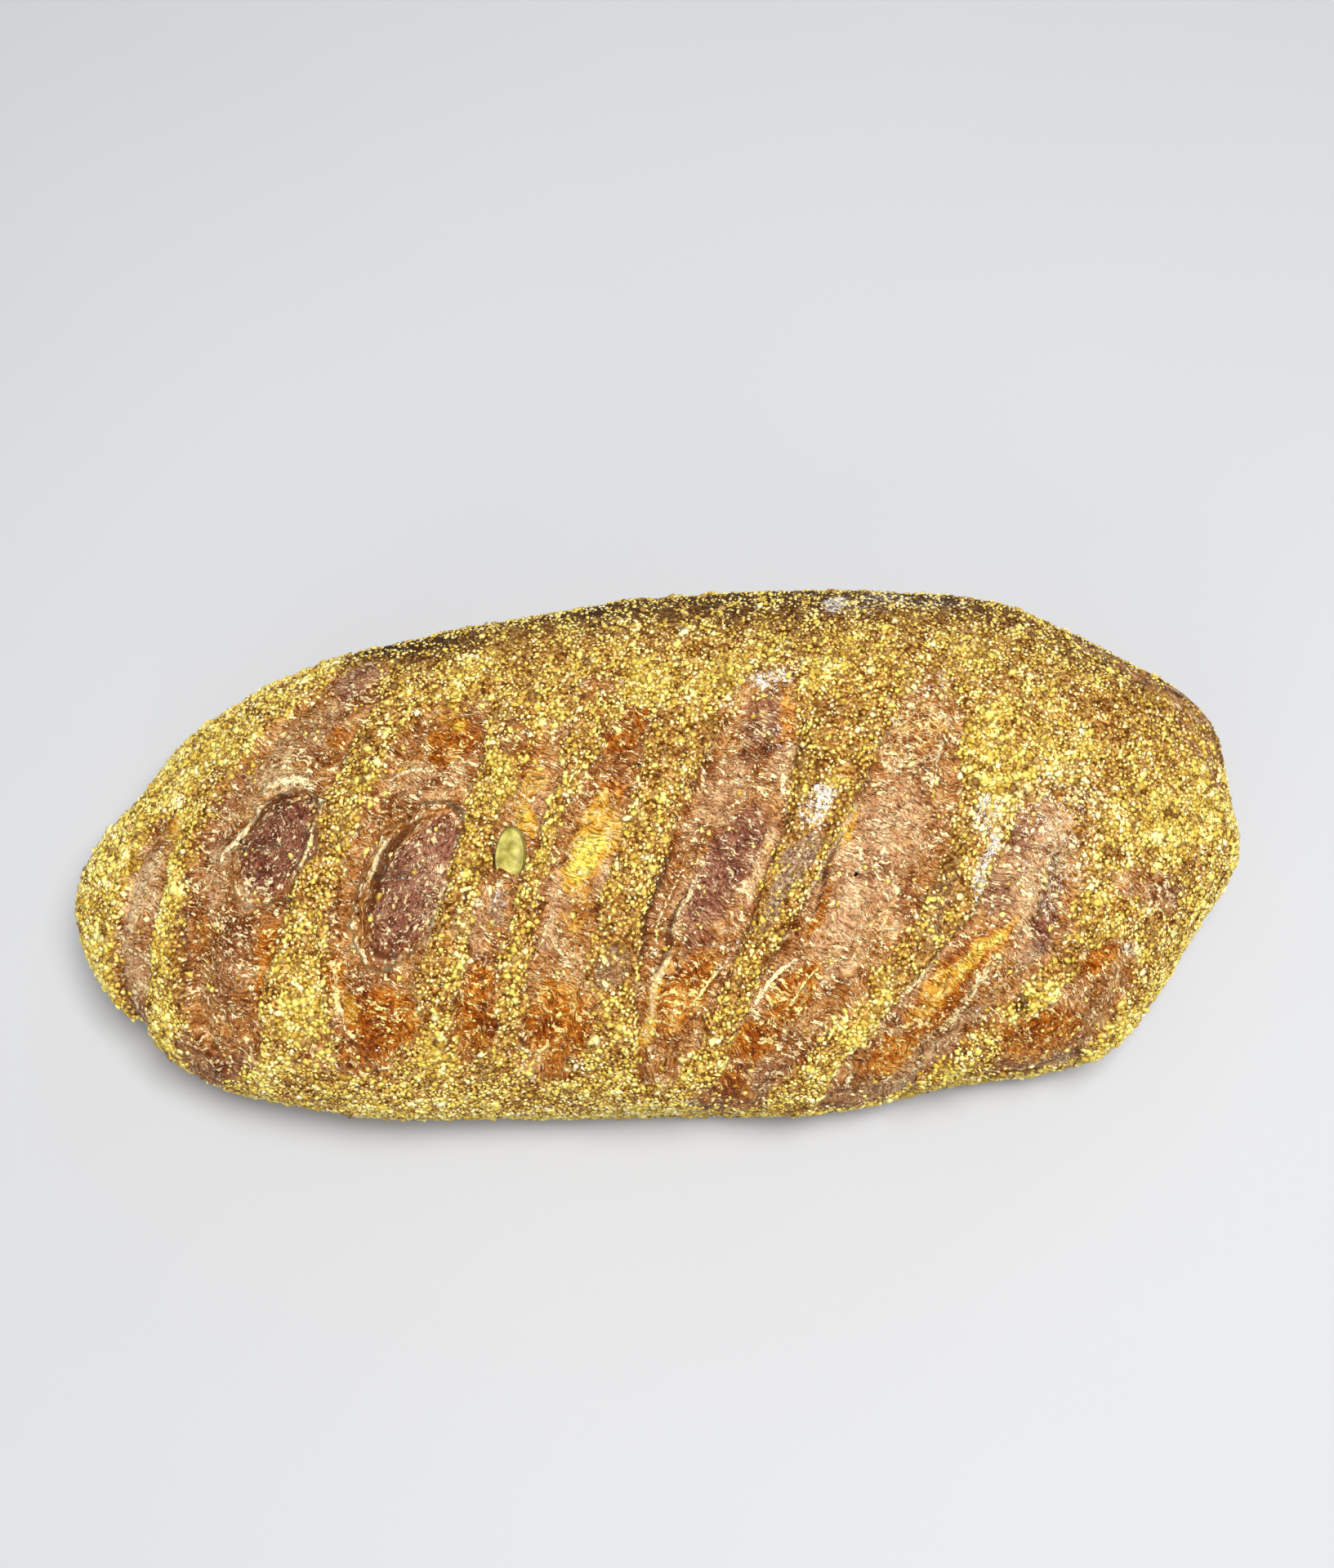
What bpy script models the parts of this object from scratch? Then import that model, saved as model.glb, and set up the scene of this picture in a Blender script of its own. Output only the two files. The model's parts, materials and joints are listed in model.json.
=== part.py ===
"""A cornbread loaf: a long hearth loaf, scored across its crown and rolled in coarse corn grits.

Everything is in metres, +Z up. The origin is on the surface that the loaf stands on, under its middle.
+X runs along the loaf. The scores start on the far side, +Y, and run down to the near side, -Y.
"""

import math
import random
from collections import namedtuple

import bmesh
import bpy
import numpy as np
from mathutils import Matrix, Vector, noise
from mathutils.bvhtree import BVHTree

MM = 0.001

# Driving dimensions of the plain loaf
LENGTH = 253 * MM
WIDTH = 117 * MM
HEIGHT = 70.5 * MM
BELLY_HEIGHT = 25 * MM  # where the flanks stand out furthest
MIDDLE = (0.2 * MM, -3.5 * MM)  # of the plain ellipse, which sets the uneven loaf evenly about the origin

# Fullness of the flanks and the crown: 1 is an ellipse, and less is fuller
FLANK_FULLNESS = 0.90
CROWN_FULLNESS = 0.92
UNDERSIDE_FULLNESS = 0.80
UNDERSIDE_ROUNDING = 0.45  # share of the way down below the belly over which the flank turns in

# The underside curves in to a sole at this share of the outline, and a little of it is cut off flat
SOLE_SHARE = 0.80
SOLE_DEPTH = 2 * MM

# The outline from above against a plain ellipse, at even turns from +X round through +Y: the far left
# and the near right are drawn in, and the far right and the near left are full
OUTLINE = (
    *(1.00, 1.03, 1.11, 1.14, 1.18, 1.09, 1.05, 0.98, 0.97, 0.975, 0.96, 0.95),
    *(1.00, 1.045, 1.08, 1.12, 1.08, 0.955, 0.94, 0.95, 0.965, 1.03, 0.98, 0.96),
)

# The scores, in millimetres: where each starts and ends along Y, the X of its middle line at its far
# end, half way and at its near end, half its width, and its depth
Score = namedtuple("Score", "far near x_far x_middle x_near half_width depth")
SCORES = (
    Score(far=8, near=-42, x_far=-102, x_middle=-111, x_near=-112, half_width=5.5, depth=1.2),
    Score(far=36, near=-51, x_far=-62, x_middle=-86.5, x_near=-88, half_width=12, depth=2.4),
    Score(far=31, near=-53, x_far=-39, x_middle=-54, x_near=-61, half_width=11, depth=2.4),
    Score(far=24, near=-52, x_far=-20, x_middle=-32, x_near=-42, half_width=4.5, depth=1.3),
    Score(far=22, near=-54, x_far=-4, x_middle=-18, x_near=-25, half_width=6.5, depth=1.8),
    Score(far=32, near=-55, x_far=24, x_middle=11, x_near=-3, half_width=11, depth=2.8),
    Score(far=33, near=-58, x_far=56, x_middle=44, x_near=12, half_width=11, depth=2.6),
    Score(far=8, near=-57, x_far=77, x_middle=71, x_near=34, half_width=9.5, depth=2.4),
    Score(far=-22, near=-56, x_far=95, x_middle=85, x_near=66, half_width=7, depth=2.0),
)
EAR_SHARE = 0.35  # height of the torn lip along a score's left edge, against its depth
STRIP_CROWN = 0.8 * MM  # how far the coated strips between the scores stand up
EDGE_WANDER = 1.3 * MM  # how far a score's ragged edges stray to either side
WANDER_SWELLS = (9 * MM, 3.5 * MM)  # how long the two kinds of straying are

# Smooth ovals in which the crust bulges out of the scores, in millimetres: place, half lengths along X
# and Y, how far X moves for each millimetre of Y, and how high each stands
Pillow = namedtuple("Pillow", "x y rx ry lean high")
PILLOWS = (
    Pillow(-81, -7, 8.5, 11.5, 0.25, 1.2),
    Pillow(-53, -16, 8.5, 16, 0.3, 1.7),
    Pillow(13, -9, 6.5, 14, 0.5, 1.0),
    Pillow(8, -29, 5, 9, 0.4, 1.0),
    Pillow(40, -15, 8.5, 20, 0.5, 0.9),
    Pillow(74, -13, 6.5, 15, 0.35, 1.1),
    Pillow(-17, -12, 3.6, 6.5, 0.2, 0.8),
    Pillow(-22, -27, 4.5, 7, 0.2, 0.7),
    Pillow(-40, -38, 4, 8, 0.2, 0.6),
    Pillow(-87, -34, 9.5, 13, 0.2, 0.9),
    Pillow(-60, -43, 8, 8, 0.2, 0.8),
    Pillow(102, -13, 9, 5.5, 0.3, 0.6),
    Pillow(86, -35, 6, 8, 0.8, 0.6),
)

# The whole crust's uneven swells: how long and how high
BROAD_SWELLS = (34 * MM, 1.6 * MM)
SMALL_SWELLS = (11 * MM, 0.5 * MM)

# Heights above the floor between which the swells and the scores set in
SWELLING_ABOVE = (3 * MM, 16 * MM)
SCORED_ABOVE = (14 * MM, 26 * MM)

# Mesh of the plain loaf, then what is left of it: fine cells first, thinned where it is smooth
CUTS = (239, 101, 67)  # along X, Y and Z
THINNED_TRIANGLES = 5600

# The coarsest grits and the seed, which are fused to the crust
GRIT_COUNT = 150
GRIT_RADIUS = (1.15 * MM, 1.6 * MM)
GRIT_SPACING = 9 * MM
GRIT_SINK = 0.25  # of its radius
LOWEST_GRIT = 6 * MM
SEED_LENGTH = 13 * MM
SEED_WIDTH = 6.8 * MM
SEED_THICKNESS = 2.6 * MM
SEED_PLACE = (-31.3 * MM, -15.2 * MM)
SEED_HEADING = math.radians(-98)  # its point lies towards the near side

CRUST_COLOUR = (0.42, 0.19, 0.07, 1)
GRIT_COLOUR = (0.72, 0.52, 0.14, 1)
SEED_COLOUR = (0.56, 0.50, 0.20, 1)


def finish(name, colour, roughness):
    """A plain Principled material: food has no metal in it."""
    material = bpy.data.materials.new(name)
    material.use_nodes = True
    shader = material.node_tree.nodes["Principled BSDF"]
    shader.inputs["Base Color"].default_value = colour
    shader.inputs["Roughness"].default_value = roughness
    shader.inputs["Metallic"].default_value = 0
    return material


def new_object(name, bm, material, collection=None):
    mesh = bpy.data.meshes.new(name)
    bm.to_mesh(mesh)
    bm.free()
    mesh.materials.append(material)
    made = bpy.data.objects.new(name, mesh)
    (collection or bpy.context.scene.collection).objects.link(made)
    return made


def apply_modifiers(made):
    """Replace the object's mesh with what its modifiers make of it."""
    depsgraph = bpy.context.evaluated_depsgraph_get()
    mesh = bpy.data.meshes.new_from_object(made.evaluated_get(depsgraph))
    made.modifiers.clear()
    made.data = mesh


def sphere_net():
    """A block cut into even cells and blown up to a unit sphere, so that no pole lies on the crown."""
    bm = bmesh.new()
    bmesh.ops.create_cube(bm, size=2)
    for axis, cuts in enumerate(CUTS):
        along = [edge for edge in bm.edges if abs(edge.verts[0].co[axis] - edge.verts[1].co[axis]) > 1]
        bmesh.ops.subdivide_edges(bm, edges=along, cuts=cuts, use_grid_fill=True)
    for vert in bm.verts:
        vert.co = Vector([math.tan(part * math.pi / 4) for part in vert.co]).normalized()
    return bm


def outline_share(turn):
    """OUTLINE at angles in radians, as a smooth closed curve through its values."""
    shares = np.array(OUTLINE)
    place = turn / (2 * math.pi) * len(shares)
    at = np.floor(place).astype(int)
    t = place - at
    a, b, c, d = (shares[(at + step) % len(shares)] for step in (-1, 0, 1, 2))
    return b + t / 2 * (c - a + t * (2 * a - 5 * b + 4 * c - d + t * (3 * (b - c) + d - a)))


def plain_form(directions):
    """The unscored loaf's surface points for unit directions from its middle."""
    x, y, z = directions.T
    turn = np.arctan2(y, x)
    level = np.hypot(x, y)
    crown_reach = level**FLANK_FULLNESS
    crown_height = BELLY_HEIGHT + (HEIGHT - BELLY_HEIGHT) * np.abs(z) ** CROWN_FULLNESS

    # below the belly the flank turns in to the sole over the first share of the way down
    dip = np.arctan2(-z, level) / (math.pi / 2)
    bend = np.clip(dip / UNDERSIDE_ROUNDING, 0, 1) * math.pi / 2
    under_reach = SOLE_SHARE + (1 - SOLE_SHARE) * np.cos(bend) ** UNDERSIDE_FULLNESS
    sole_reach = SOLE_SHARE * (1 - dip) / (1 - UNDERSIDE_ROUNDING)
    under_reach = np.where(dip > UNDERSIDE_ROUNDING, sole_reach, under_reach)
    under_height = BELLY_HEIGHT - (BELLY_HEIGHT + SOLE_DEPTH) * np.sin(bend)

    reach = np.where(z >= 0, crown_reach, under_reach) * outline_share(turn)
    height = np.where(z >= 0, crown_height, under_height)
    along = MIDDLE[0] + np.cos(turn) * reach * LENGTH / 2
    across = MIDDLE[1] + np.sin(turn) * reach * WIDTH / 2
    return np.stack((along, across, height), axis=1)


def ramp(value, low, high):
    """A smooth step from 0 at low to 1 at high."""
    t = np.clip((value - low) / (high - low), 0, 1)
    return t * t * (3 - 2 * t)


def bump(value, middle, spread):
    return np.exp(-(((value - middle) / spread) ** 2))


def across_score(score, x, y):
    """Where points lie across a score, from -1 at its left edge to 1 at its right, and along it, 0 to 1."""
    t = np.clip((score.far - y) / (score.far - score.near), 0, 1)
    middle = score.x_far * (1 - t) * (1 - 2 * t) + score.x_middle * 4 * t * (1 - t)
    middle = middle + score.x_near * t * (2 * t - 1)
    slant = score.x_far * (4 * t - 3) + score.x_middle * (4 - 8 * t) + score.x_near * (4 * t - 1)
    slant = slant / (score.far - score.near)
    half_width = score.half_width * (0.1 + 0.9 * (4 * t * (1 - t)) ** 0.6)
    return (x - middle) / np.sqrt(1 + slant**2) / half_width, t


def score_relief(x, y):
    """Heights of the scores' relief: a torn lip, a drop, a risen face and a groove, from left to right."""
    relief = np.zeros(len(x))
    for score in SCORES:
        c, t = across_score(score, x, y)
        depth = score.depth * MM * ramp(t, 0, 0.25) * ramp(1 - t, 0, 0.15)
        face = 0.25 + 0.75 * np.clip(((c - 0.1) / 1.05) ** 2, 0, 1)
        hollow = face * ramp(c, -1.05, -0.82) * ramp(1.15 - c, 0, 0.4)
        relief += depth * (EAR_SHARE * bump(c, -1.06, 0.14) - hollow)
    return relief


def pillow_relief(x, y):
    """Heights of the crust that bulges out of the scores, with a crease round each oval."""
    relief = np.zeros(len(x))
    for pillow in PILLOWS:
        along = x - pillow.x - pillow.lean * (y - pillow.y)
        gap = np.hypot(along / pillow.rx, (y - pillow.y) / pillow.ry)
        relief = np.maximum(relief, pillow.high * MM * np.sqrt(np.clip(1 - gap**2, 0, 1)))
    return relief


def bare(x, y):
    """1 on the scores' bare faces and 0 on the coated strips."""
    most = np.zeros(len(x))
    for score in SCORES:
        c, t = across_score(score, x, y)
        inside = ramp(c, -1.1, -0.95) * ramp(1.05 - c, 0, 0.15)
        most = np.maximum(most, inside * ramp(t, 0, 0.15) * ramp(1 - t, 0, 0.08))
    return most


def waves(points, size, place=0.0):
    """Smooth noise over the points, about -1 to 1, with swells of about this size."""
    shift = Vector((place, place, place))
    return np.array([noise.noise(Vector(point) / size + shift) for point in points])


def loaf_millimetres(x, y):
    """Places in millimetres from the loaf's middle, as the scores and pillows are given."""
    return (x - MIDDLE[0]) / MM, (y - MIDDLE[1]) / MM


def crown_relief(points):
    """The scores with their ragged edges, the coated strips that stand up between them, and the pillows."""
    long_swells, short_swells = WANDER_SWELLS
    stray = EDGE_WANDER * (waves(points, long_swells, 3.1) + 0.5 * waves(points, short_swells, 8.7))
    x, y = loaf_millimetres(points[:, 0] + stray, points[:, 1])
    return score_relief(x, y) + pillow_relief(x, y) + STRIP_CROWN * (1 - bare(x, y))


def shape_crust(mesh):
    """Move the sphere net out to the loaf, then press its relief in along the surface's normals."""
    points = np.empty(len(mesh.vertices) * 3)
    mesh.vertices.foreach_get("co", points)
    form = plain_form(points.reshape(-1, 3))
    mesh.vertices.foreach_set("co", form.ravel())
    mesh.update()
    normals = np.empty(len(form) * 3)
    mesh.vertices.foreach_get("normal", normals)
    broad_length, broad_height = BROAD_SWELLS
    small_length, small_height = SMALL_SWELLS
    swells = broad_height * waves(form, broad_length) + small_height * waves(form, small_length, 7.3)
    scored = ramp(form[:, 2], *SCORED_ABOVE)
    height = scored * crown_relief(form) + ramp(form[:, 2], *SWELLING_ABOVE) * swells
    mesh.vertices.foreach_set("co", (form + normals.reshape(-1, 3) * height[:, None]).ravel())
    mesh.update()


def cut_sole(made):
    """Cut the loaf off flat at Z = 0, where it stood on the oven's floor."""
    bm = bmesh.new()
    bm.from_mesh(made.data)
    everything = bm.verts[:] + bm.edges[:] + bm.faces[:]
    bmesh.ops.bisect_plane(bm, geom=everything, plane_co=(0, 0, 0), plane_no=(0, 0, -1), clear_outer=True)
    rim = [edge for edge in bm.edges if edge.is_boundary]
    bmesh.ops.contextual_create(bm, geom=rim)
    bmesh.ops.recalc_face_normals(bm, faces=bm.faces[:])
    bm.to_mesh(made.data)
    bm.free()


def make_crust():
    """The whole loaf without what is stuck to it."""
    crust = new_object("loaf", sphere_net(), finish("baked crust", CRUST_COLOUR, 0.55))
    shape_crust(crust.data)
    crust.data.calc_loop_triangles()
    thin = crust.modifiers.new("thin out", "DECIMATE")
    thin.ratio = THINNED_TRIANGLES / len(crust.data.loop_triangles)
    apply_modifiers(crust)
    cut_sole(crust)
    return crust


def grit_places(crust, rng):
    """Spots on the coated crust for the coarsest grits, spread out evenly, with the crust's normals."""
    bm = bmesh.new()
    bm.from_mesh(crust.data)
    tree = BVHTree.FromBMesh(bm)
    bm.free()
    places = []
    while len(places) < GRIT_COUNT:
        turn = rng.uniform(-math.pi, math.pi)
        rise = math.sqrt(rng.random())
        aim = Vector((math.cos(turn) * LENGTH / 2, math.sin(turn) * WIDTH / 2, 0)) * math.sqrt(1 - rise**2)
        aim.z = rise * HEIGHT
        spot, normal, _, _ = tree.ray_cast(aim * 2 + Vector((0, 0, BELLY_HEIGHT)), -aim)
        if spot is None or spot.z < LOWEST_GRIT:
            continue
        x, y = loaf_millimetres(np.array([spot.x]), np.array([spot.y]))
        if bare(x, y)[0] > 0.3 and spot.z > BELLY_HEIGHT:
            continue
        if all((spot - other).length > GRIT_SPACING for other, _ in places):
            places.append((spot, normal))
    return places


def make_grits(crust, collection):
    """The coarsest grits: uneven chips, each sunk a little into the crust."""
    rng = random.Random(11)
    material = finish("corn grits", GRIT_COLOUR, 0.7)
    for count, (spot, normal) in enumerate(grit_places(crust, rng)):
        radius = rng.uniform(*GRIT_RADIUS)
        bm = bmesh.new()
        bmesh.ops.create_icosphere(bm, subdivisions=1, radius=radius)
        for vert in bm.verts:
            vert.co *= rng.uniform(0.8, 1.1)
        stretch = Matrix.Diagonal((rng.uniform(0.8, 1.1), rng.uniform(0.8, 1.1), 0.8, 1))
        stand = normal.to_track_quat("Z", "Y").to_matrix().to_4x4()
        sunk = Matrix.Translation(spot - normal * radius * GRIT_SINK)
        bm.transform(sunk @ stand @ Matrix.Rotation(rng.uniform(0, math.tau), 4, "Z") @ stretch)
        new_object(f"grit_{count + 1}", bm, material, collection)


def make_pumpkin_seed(crust, collection):
    """A flat drop-shaped seed, pressed half into the crust between two scores."""
    _, spot, normal, _ = crust.ray_cast(Vector((*SEED_PLACE, 2 * HEIGHT)), Vector((0, 0, -1)))
    bm = bmesh.new()
    bmesh.ops.create_uvsphere(bm, u_segments=12, v_segments=7, radius=0.5)
    for vert in bm.verts:
        vert.co.y *= 1 - 0.5 * max(0, vert.co.x)  # narrower towards its point, at +X
    bm.transform(Matrix.Diagonal((SEED_LENGTH, SEED_WIDTH, SEED_THICKNESS, 1)))
    heading = Vector((math.cos(SEED_HEADING), math.sin(SEED_HEADING), 0))
    across = normal.cross(heading).normalized()
    stand = Matrix((across.cross(normal), across, normal)).transposed().to_4x4()
    bm.transform(Matrix.Translation(spot) @ stand)
    new_object("pumpkin_seed", bm, finish("pumpkin seed", SEED_COLOUR, 0.45), collection)


def fuse(crust, collection):
    """Join the crust and all that is stuck to it into one solid, and drop the separate pieces."""
    union = crust.modifiers.new("fuse", "BOOLEAN")
    union.operation = "UNION"
    union.operand_type = "COLLECTION"
    union.collection = collection
    union.solver = "EXACT"
    union.material_mode = "TRANSFER"
    apply_modifiers(crust)
    for piece in list(collection.objects):
        bpy.data.objects.remove(piece)
    bpy.data.collections.remove(collection)


def main():
    for old in list(bpy.data.objects):
        bpy.data.objects.remove(old)
    crust = make_crust()
    stuck_on = bpy.data.collections.new("stuck on")
    bpy.context.scene.collection.children.link(stuck_on)
    make_grits(crust, stuck_on)
    make_pumpkin_seed(crust, stuck_on)
    fuse(crust, stuck_on)


main()
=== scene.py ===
import json
import math
from collections import namedtuple

import bmesh
import bpy
import numpy as np
from mathutils import Matrix, Vector, kdtree, noise

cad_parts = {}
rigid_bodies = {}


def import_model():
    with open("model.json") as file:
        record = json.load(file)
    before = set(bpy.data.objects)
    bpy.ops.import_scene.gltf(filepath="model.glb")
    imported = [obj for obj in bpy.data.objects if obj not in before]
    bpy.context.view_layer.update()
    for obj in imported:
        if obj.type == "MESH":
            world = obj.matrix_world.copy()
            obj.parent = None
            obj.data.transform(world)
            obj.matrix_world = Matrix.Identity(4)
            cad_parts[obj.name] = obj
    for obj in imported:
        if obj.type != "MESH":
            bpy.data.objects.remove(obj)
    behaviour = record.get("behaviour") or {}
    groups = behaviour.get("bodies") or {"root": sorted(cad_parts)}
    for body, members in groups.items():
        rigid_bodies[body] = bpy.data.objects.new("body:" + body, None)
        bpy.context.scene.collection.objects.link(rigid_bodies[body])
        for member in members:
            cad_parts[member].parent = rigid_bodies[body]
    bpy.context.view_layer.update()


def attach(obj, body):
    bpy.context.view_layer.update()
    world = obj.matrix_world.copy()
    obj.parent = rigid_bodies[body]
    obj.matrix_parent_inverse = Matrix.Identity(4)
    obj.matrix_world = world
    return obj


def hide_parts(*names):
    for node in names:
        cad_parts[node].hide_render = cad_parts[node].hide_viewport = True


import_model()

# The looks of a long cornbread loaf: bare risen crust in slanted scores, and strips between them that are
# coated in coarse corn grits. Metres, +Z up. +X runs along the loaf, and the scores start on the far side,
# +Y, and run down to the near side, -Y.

MM = 0.001

# ---------------------------------------------------------------- the loaf's form, as its solid has it
LENGTH = 253 * MM
WIDTH = 117 * MM
HEIGHT = 70.5 * MM
BELLY_HEIGHT = 25 * MM  # where the flanks stand out furthest
MIDDLE = (0.2 * MM, -3.5 * MM)

# Fullness: 1 is an ellipse, and less is fuller
FLANK_FULLNESS = 0.90
CROWN_FULLNESS = 0.92
UNDERSIDE_FULLNESS = 0.80
UNDERSIDE_ROUNDING = 0.45  # share of the way down below the belly over which the flank turns in

# The underside curves in to a sole at this share of the outline, and this depth of it is cut off flat
SOLE_SHARE = 0.80
SOLE_DEPTH = 2 * MM

# The outline from above against a plain ellipse, at even turns from +X round through +Y
OUTLINE = (
    *(1.00, 1.03, 1.11, 1.14, 1.18, 1.09, 1.05, 0.98, 0.97, 0.975, 0.96, 0.95),
    *(1.00, 1.045, 1.08, 1.12, 1.08, 0.955, 0.94, 0.95, 0.965, 1.03, 0.98, 0.96),
)

# The scores, in millimetres from the loaf's middle: where each starts and ends along Y, the X of its middle
# line at its far end, half way and at its near end, half its width, and its depth
Score = namedtuple("Score", "far near x_far x_middle x_near half_width depth")
SCORES = (
    Score(far=8, near=-42, x_far=-102, x_middle=-111, x_near=-112, half_width=5.5, depth=1.2),
    Score(far=36, near=-51, x_far=-62, x_middle=-86.5, x_near=-88, half_width=12, depth=2.4),
    Score(far=31, near=-53, x_far=-39, x_middle=-54, x_near=-61, half_width=11, depth=2.4),
    Score(far=24, near=-52, x_far=-20, x_middle=-32, x_near=-42, half_width=4.5, depth=1.3),
    Score(far=22, near=-54, x_far=-4, x_middle=-18, x_near=-25, half_width=6.5, depth=1.8),
    Score(far=32, near=-55, x_far=24, x_middle=11, x_near=-3, half_width=11, depth=2.8),
    Score(far=33, near=-58, x_far=56, x_middle=44, x_near=12, half_width=11, depth=2.6),
    Score(far=8, near=-57, x_far=77, x_middle=71, x_near=34, half_width=9.5, depth=2.4),
    Score(far=-22, near=-56, x_far=95, x_middle=85, x_near=66, half_width=7, depth=2.0),
)
EAR_SHARE = 0.35  # height of the torn lip along a score's left edge, against its depth
STRIP_CROWN = 0.8 * MM  # how far the coated strips between the scores stand up
EDGE_WANDER = 1.3 * MM  # how far a score's ragged edges stray to either side
WANDER_SWELLS = (9 * MM, 3.5 * MM)  # how long the two kinds of straying are

# The whole crust's uneven swells: how long and how high
BROAD_SWELLS = (34 * MM, 1.6 * MM)
SMALL_SWELLS = (11 * MM, 0.5 * MM)

# Heights above the floor between which each of these sets in, or for LOW_BELOW fades out
SWELLING_ABOVE = (3 * MM, 16 * MM)
SCORED_ABOVE = (14 * MM, 26 * MM)
MARKED_ABOVE = (BELLY_HEIGHT - 14 * MM, BELLY_HEIGHT)
ROUGH_ABOVE = (1 * MM, 6 * MM)
# below LOW_BELOW fewer grits lie, and the crust and grits are painted darker as shade towards the floor
LOW_BELOW = (4 * MM, 22 * MM)

# ---------------------------------------------------------------- what lies where on it
# Ovals on the crust, in millimetres from the loaf's middle: place, half lengths along X and Y, how far X
# moves for each millimetre of Y, and how much of it there is (for a pillow, how high it stands). BARE adds
# to the bare crust of the scores. TOASTED_AND_PAINTED_SHADOW, AMBER, GLAZED and FAIR are its colours, though
# one TOASTED_AND_PAINTED_SHADOW oval is a painted shadow along a groove. DENSE and SPARSE are where more and
# fewer grits lie, and DARK is crust
# darkened between them: scorched, and along the far rim also painted shade on the far flank.
Oval = namedtuple("Oval", "x y rx ry lean much")
PILLOWS = (
    Oval(-81, -7, 8.5, 11.5, 0.25, 1.2),
    Oval(-53, -16, 8.5, 16, 0.3, 1.7),
    Oval(13, -9, 6.5, 14, 0.5, 1.0),
    Oval(8, -29, 5, 9, 0.4, 1.0),
    Oval(40, -15, 8.5, 20, 0.5, 0.9),
    Oval(74, -13, 6.5, 15, 0.35, 1.1),
    Oval(-17, -12, 3.6, 6.5, 0.2, 0.8),
    Oval(-22, -27, 4.5, 7, 0.2, 0.7),
    Oval(-40, -38, 4, 8, 0.2, 0.6),
    Oval(-87, -34, 9.5, 13, 0.2, 0.9),
    Oval(-60, -43, 8, 8, 0.2, 0.8),
    Oval(102, -13, 9, 5.5, 0.3, 0.6),
    Oval(86, -35, 6, 8, 0.8, 0.6),
)
BARE = (
    Oval(-77, 18, 6, 8, 0.5, 0.8),
    Oval(-66, 30, 7, 7, 0.4, 0.95),
    Oval(-69, 19, 5, 4, 0.0, 0.6),
    Oval(-96, -44, 9, 5, -0.5, 0.9),
    Oval(-113, -30, 3, 5, -0.3, 0.4),
    Oval(-44, 16, 6.5, 8, 0.3, 0.95),
    Oval(-14, 26, 5, 4, 0.4, 0.6),
    Oval(-8, 14, 4.5, 8, 0.4, 0.9),
    Oval(18, 20, 9, 9, 0.3, 0.7),
    Oval(56, 27, 5, 5, 0.4, 0.6),
    Oval(52, 14, 9, 9, 0.2, 0.8),
    Oval(101, -13, 11, 5, 0.3, 0.75),
    Oval(90, -29, 6.5, 6, 0.6, 1.1),
    Oval(79, -42, 9, 5, 1.1, 1.2),
    Oval(-38.5, -40, 5.5, 9, 0.15, 1.0),
    Oval(-22, -42, 8.5, 10, 0.2, 0.95),
    Oval(-60, -41, 10, 10, 0.1, 1.0),
    Oval(120, 34, 6, 13, -0.6, 0.75),
    Oval(-75, -6, 4.5, 11, 0.3, 0.95),
    Oval(-66, -47, 12, 4, 0.0, 0.6),
    Oval(-27, -48, 8, 4, 0.0, 0.6),
    Oval(-31, 14, 3.5, 7, 0.3, 0.7),
    Oval(12, -55, 8, 4, 0.5, 0.8),
    Oval(116, 23, 6, 15, -0.45, 0.62),
    Oval(103, 37, 4.5, 14, -1.23, 0.6),
)
TOASTED_AND_PAINTED_SHADOW = (
    Oval(-79.8, -7, 8.8, 11.5, 0.3, 1.0),
    Oval(-51, -17, 8.2, 15.5, 0.4, 1.0),
    Oval(-89, -29, 5.5, 14, 0.15, 0.48),
    Oval(-57, -29, 5, 4, 0.2, 0.7),
    Oval(-61, -37, 4, 5, 0.0, 0.45),
    Oval(-94, 0, 4, 9, 0.1, 0.45),
    Oval(-99, -22, 1.8, 12, 0.0, 0.3),
    Oval(-66, 31, 6, 5.5, 0.4, 0.7),
    Oval(-111, -6, 3, 6, 0.4, 0.35),
    Oval(-8, 14, 3, 6, 0.4, 0.5),
    Oval(-8, 23, 4, 4, 0.4, 0.5),
    Oval(12, -14, 6, 15.5, 0.5, 0.8),
    Oval(20, 19, 6, 8, 0.3, 0.75),
    Oval(-91, -46, 6, 4, -0.2, 0.55),
    Oval(7, -27, 3.6, 9, 0.45, 0.62),
    Oval(13, -32, 3.5, 6, 0.4, 0.45),
    Oval(20, -52, 8, 4, 0.6, 0.5),
    Oval(19, 12, 4, 7, 0.3, 0.5),
    Oval(-3, -24, 2, 11, 0.45, 0.45),
    Oval(51, 13, 3, 3, 0.0, 0.8),
    Oval(43, -4, 4, 5, 0.3, 0.4),
    Oval(54, -4, 3, 5, 0.5, 0.4),
    Oval(48, -21, 2, 8, 0.4, 0.45),
    Oval(73, -6, 3, 5, 0.3, 0.6),
    Oval(68, -18, 3.5, 5, 0.4, 0.6),
    # a painted shadow: the broad shade in the groove beside this score, coloured as toasted crust
    Oval(79, -18, 2.8, 13, 0.25, 0.75),
    Oval(106, -12.5, 5, 3.2, 0.3, 0.6),
    Oval(96, -14, 3, 2.5, 0.3, 0.5),
)
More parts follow.
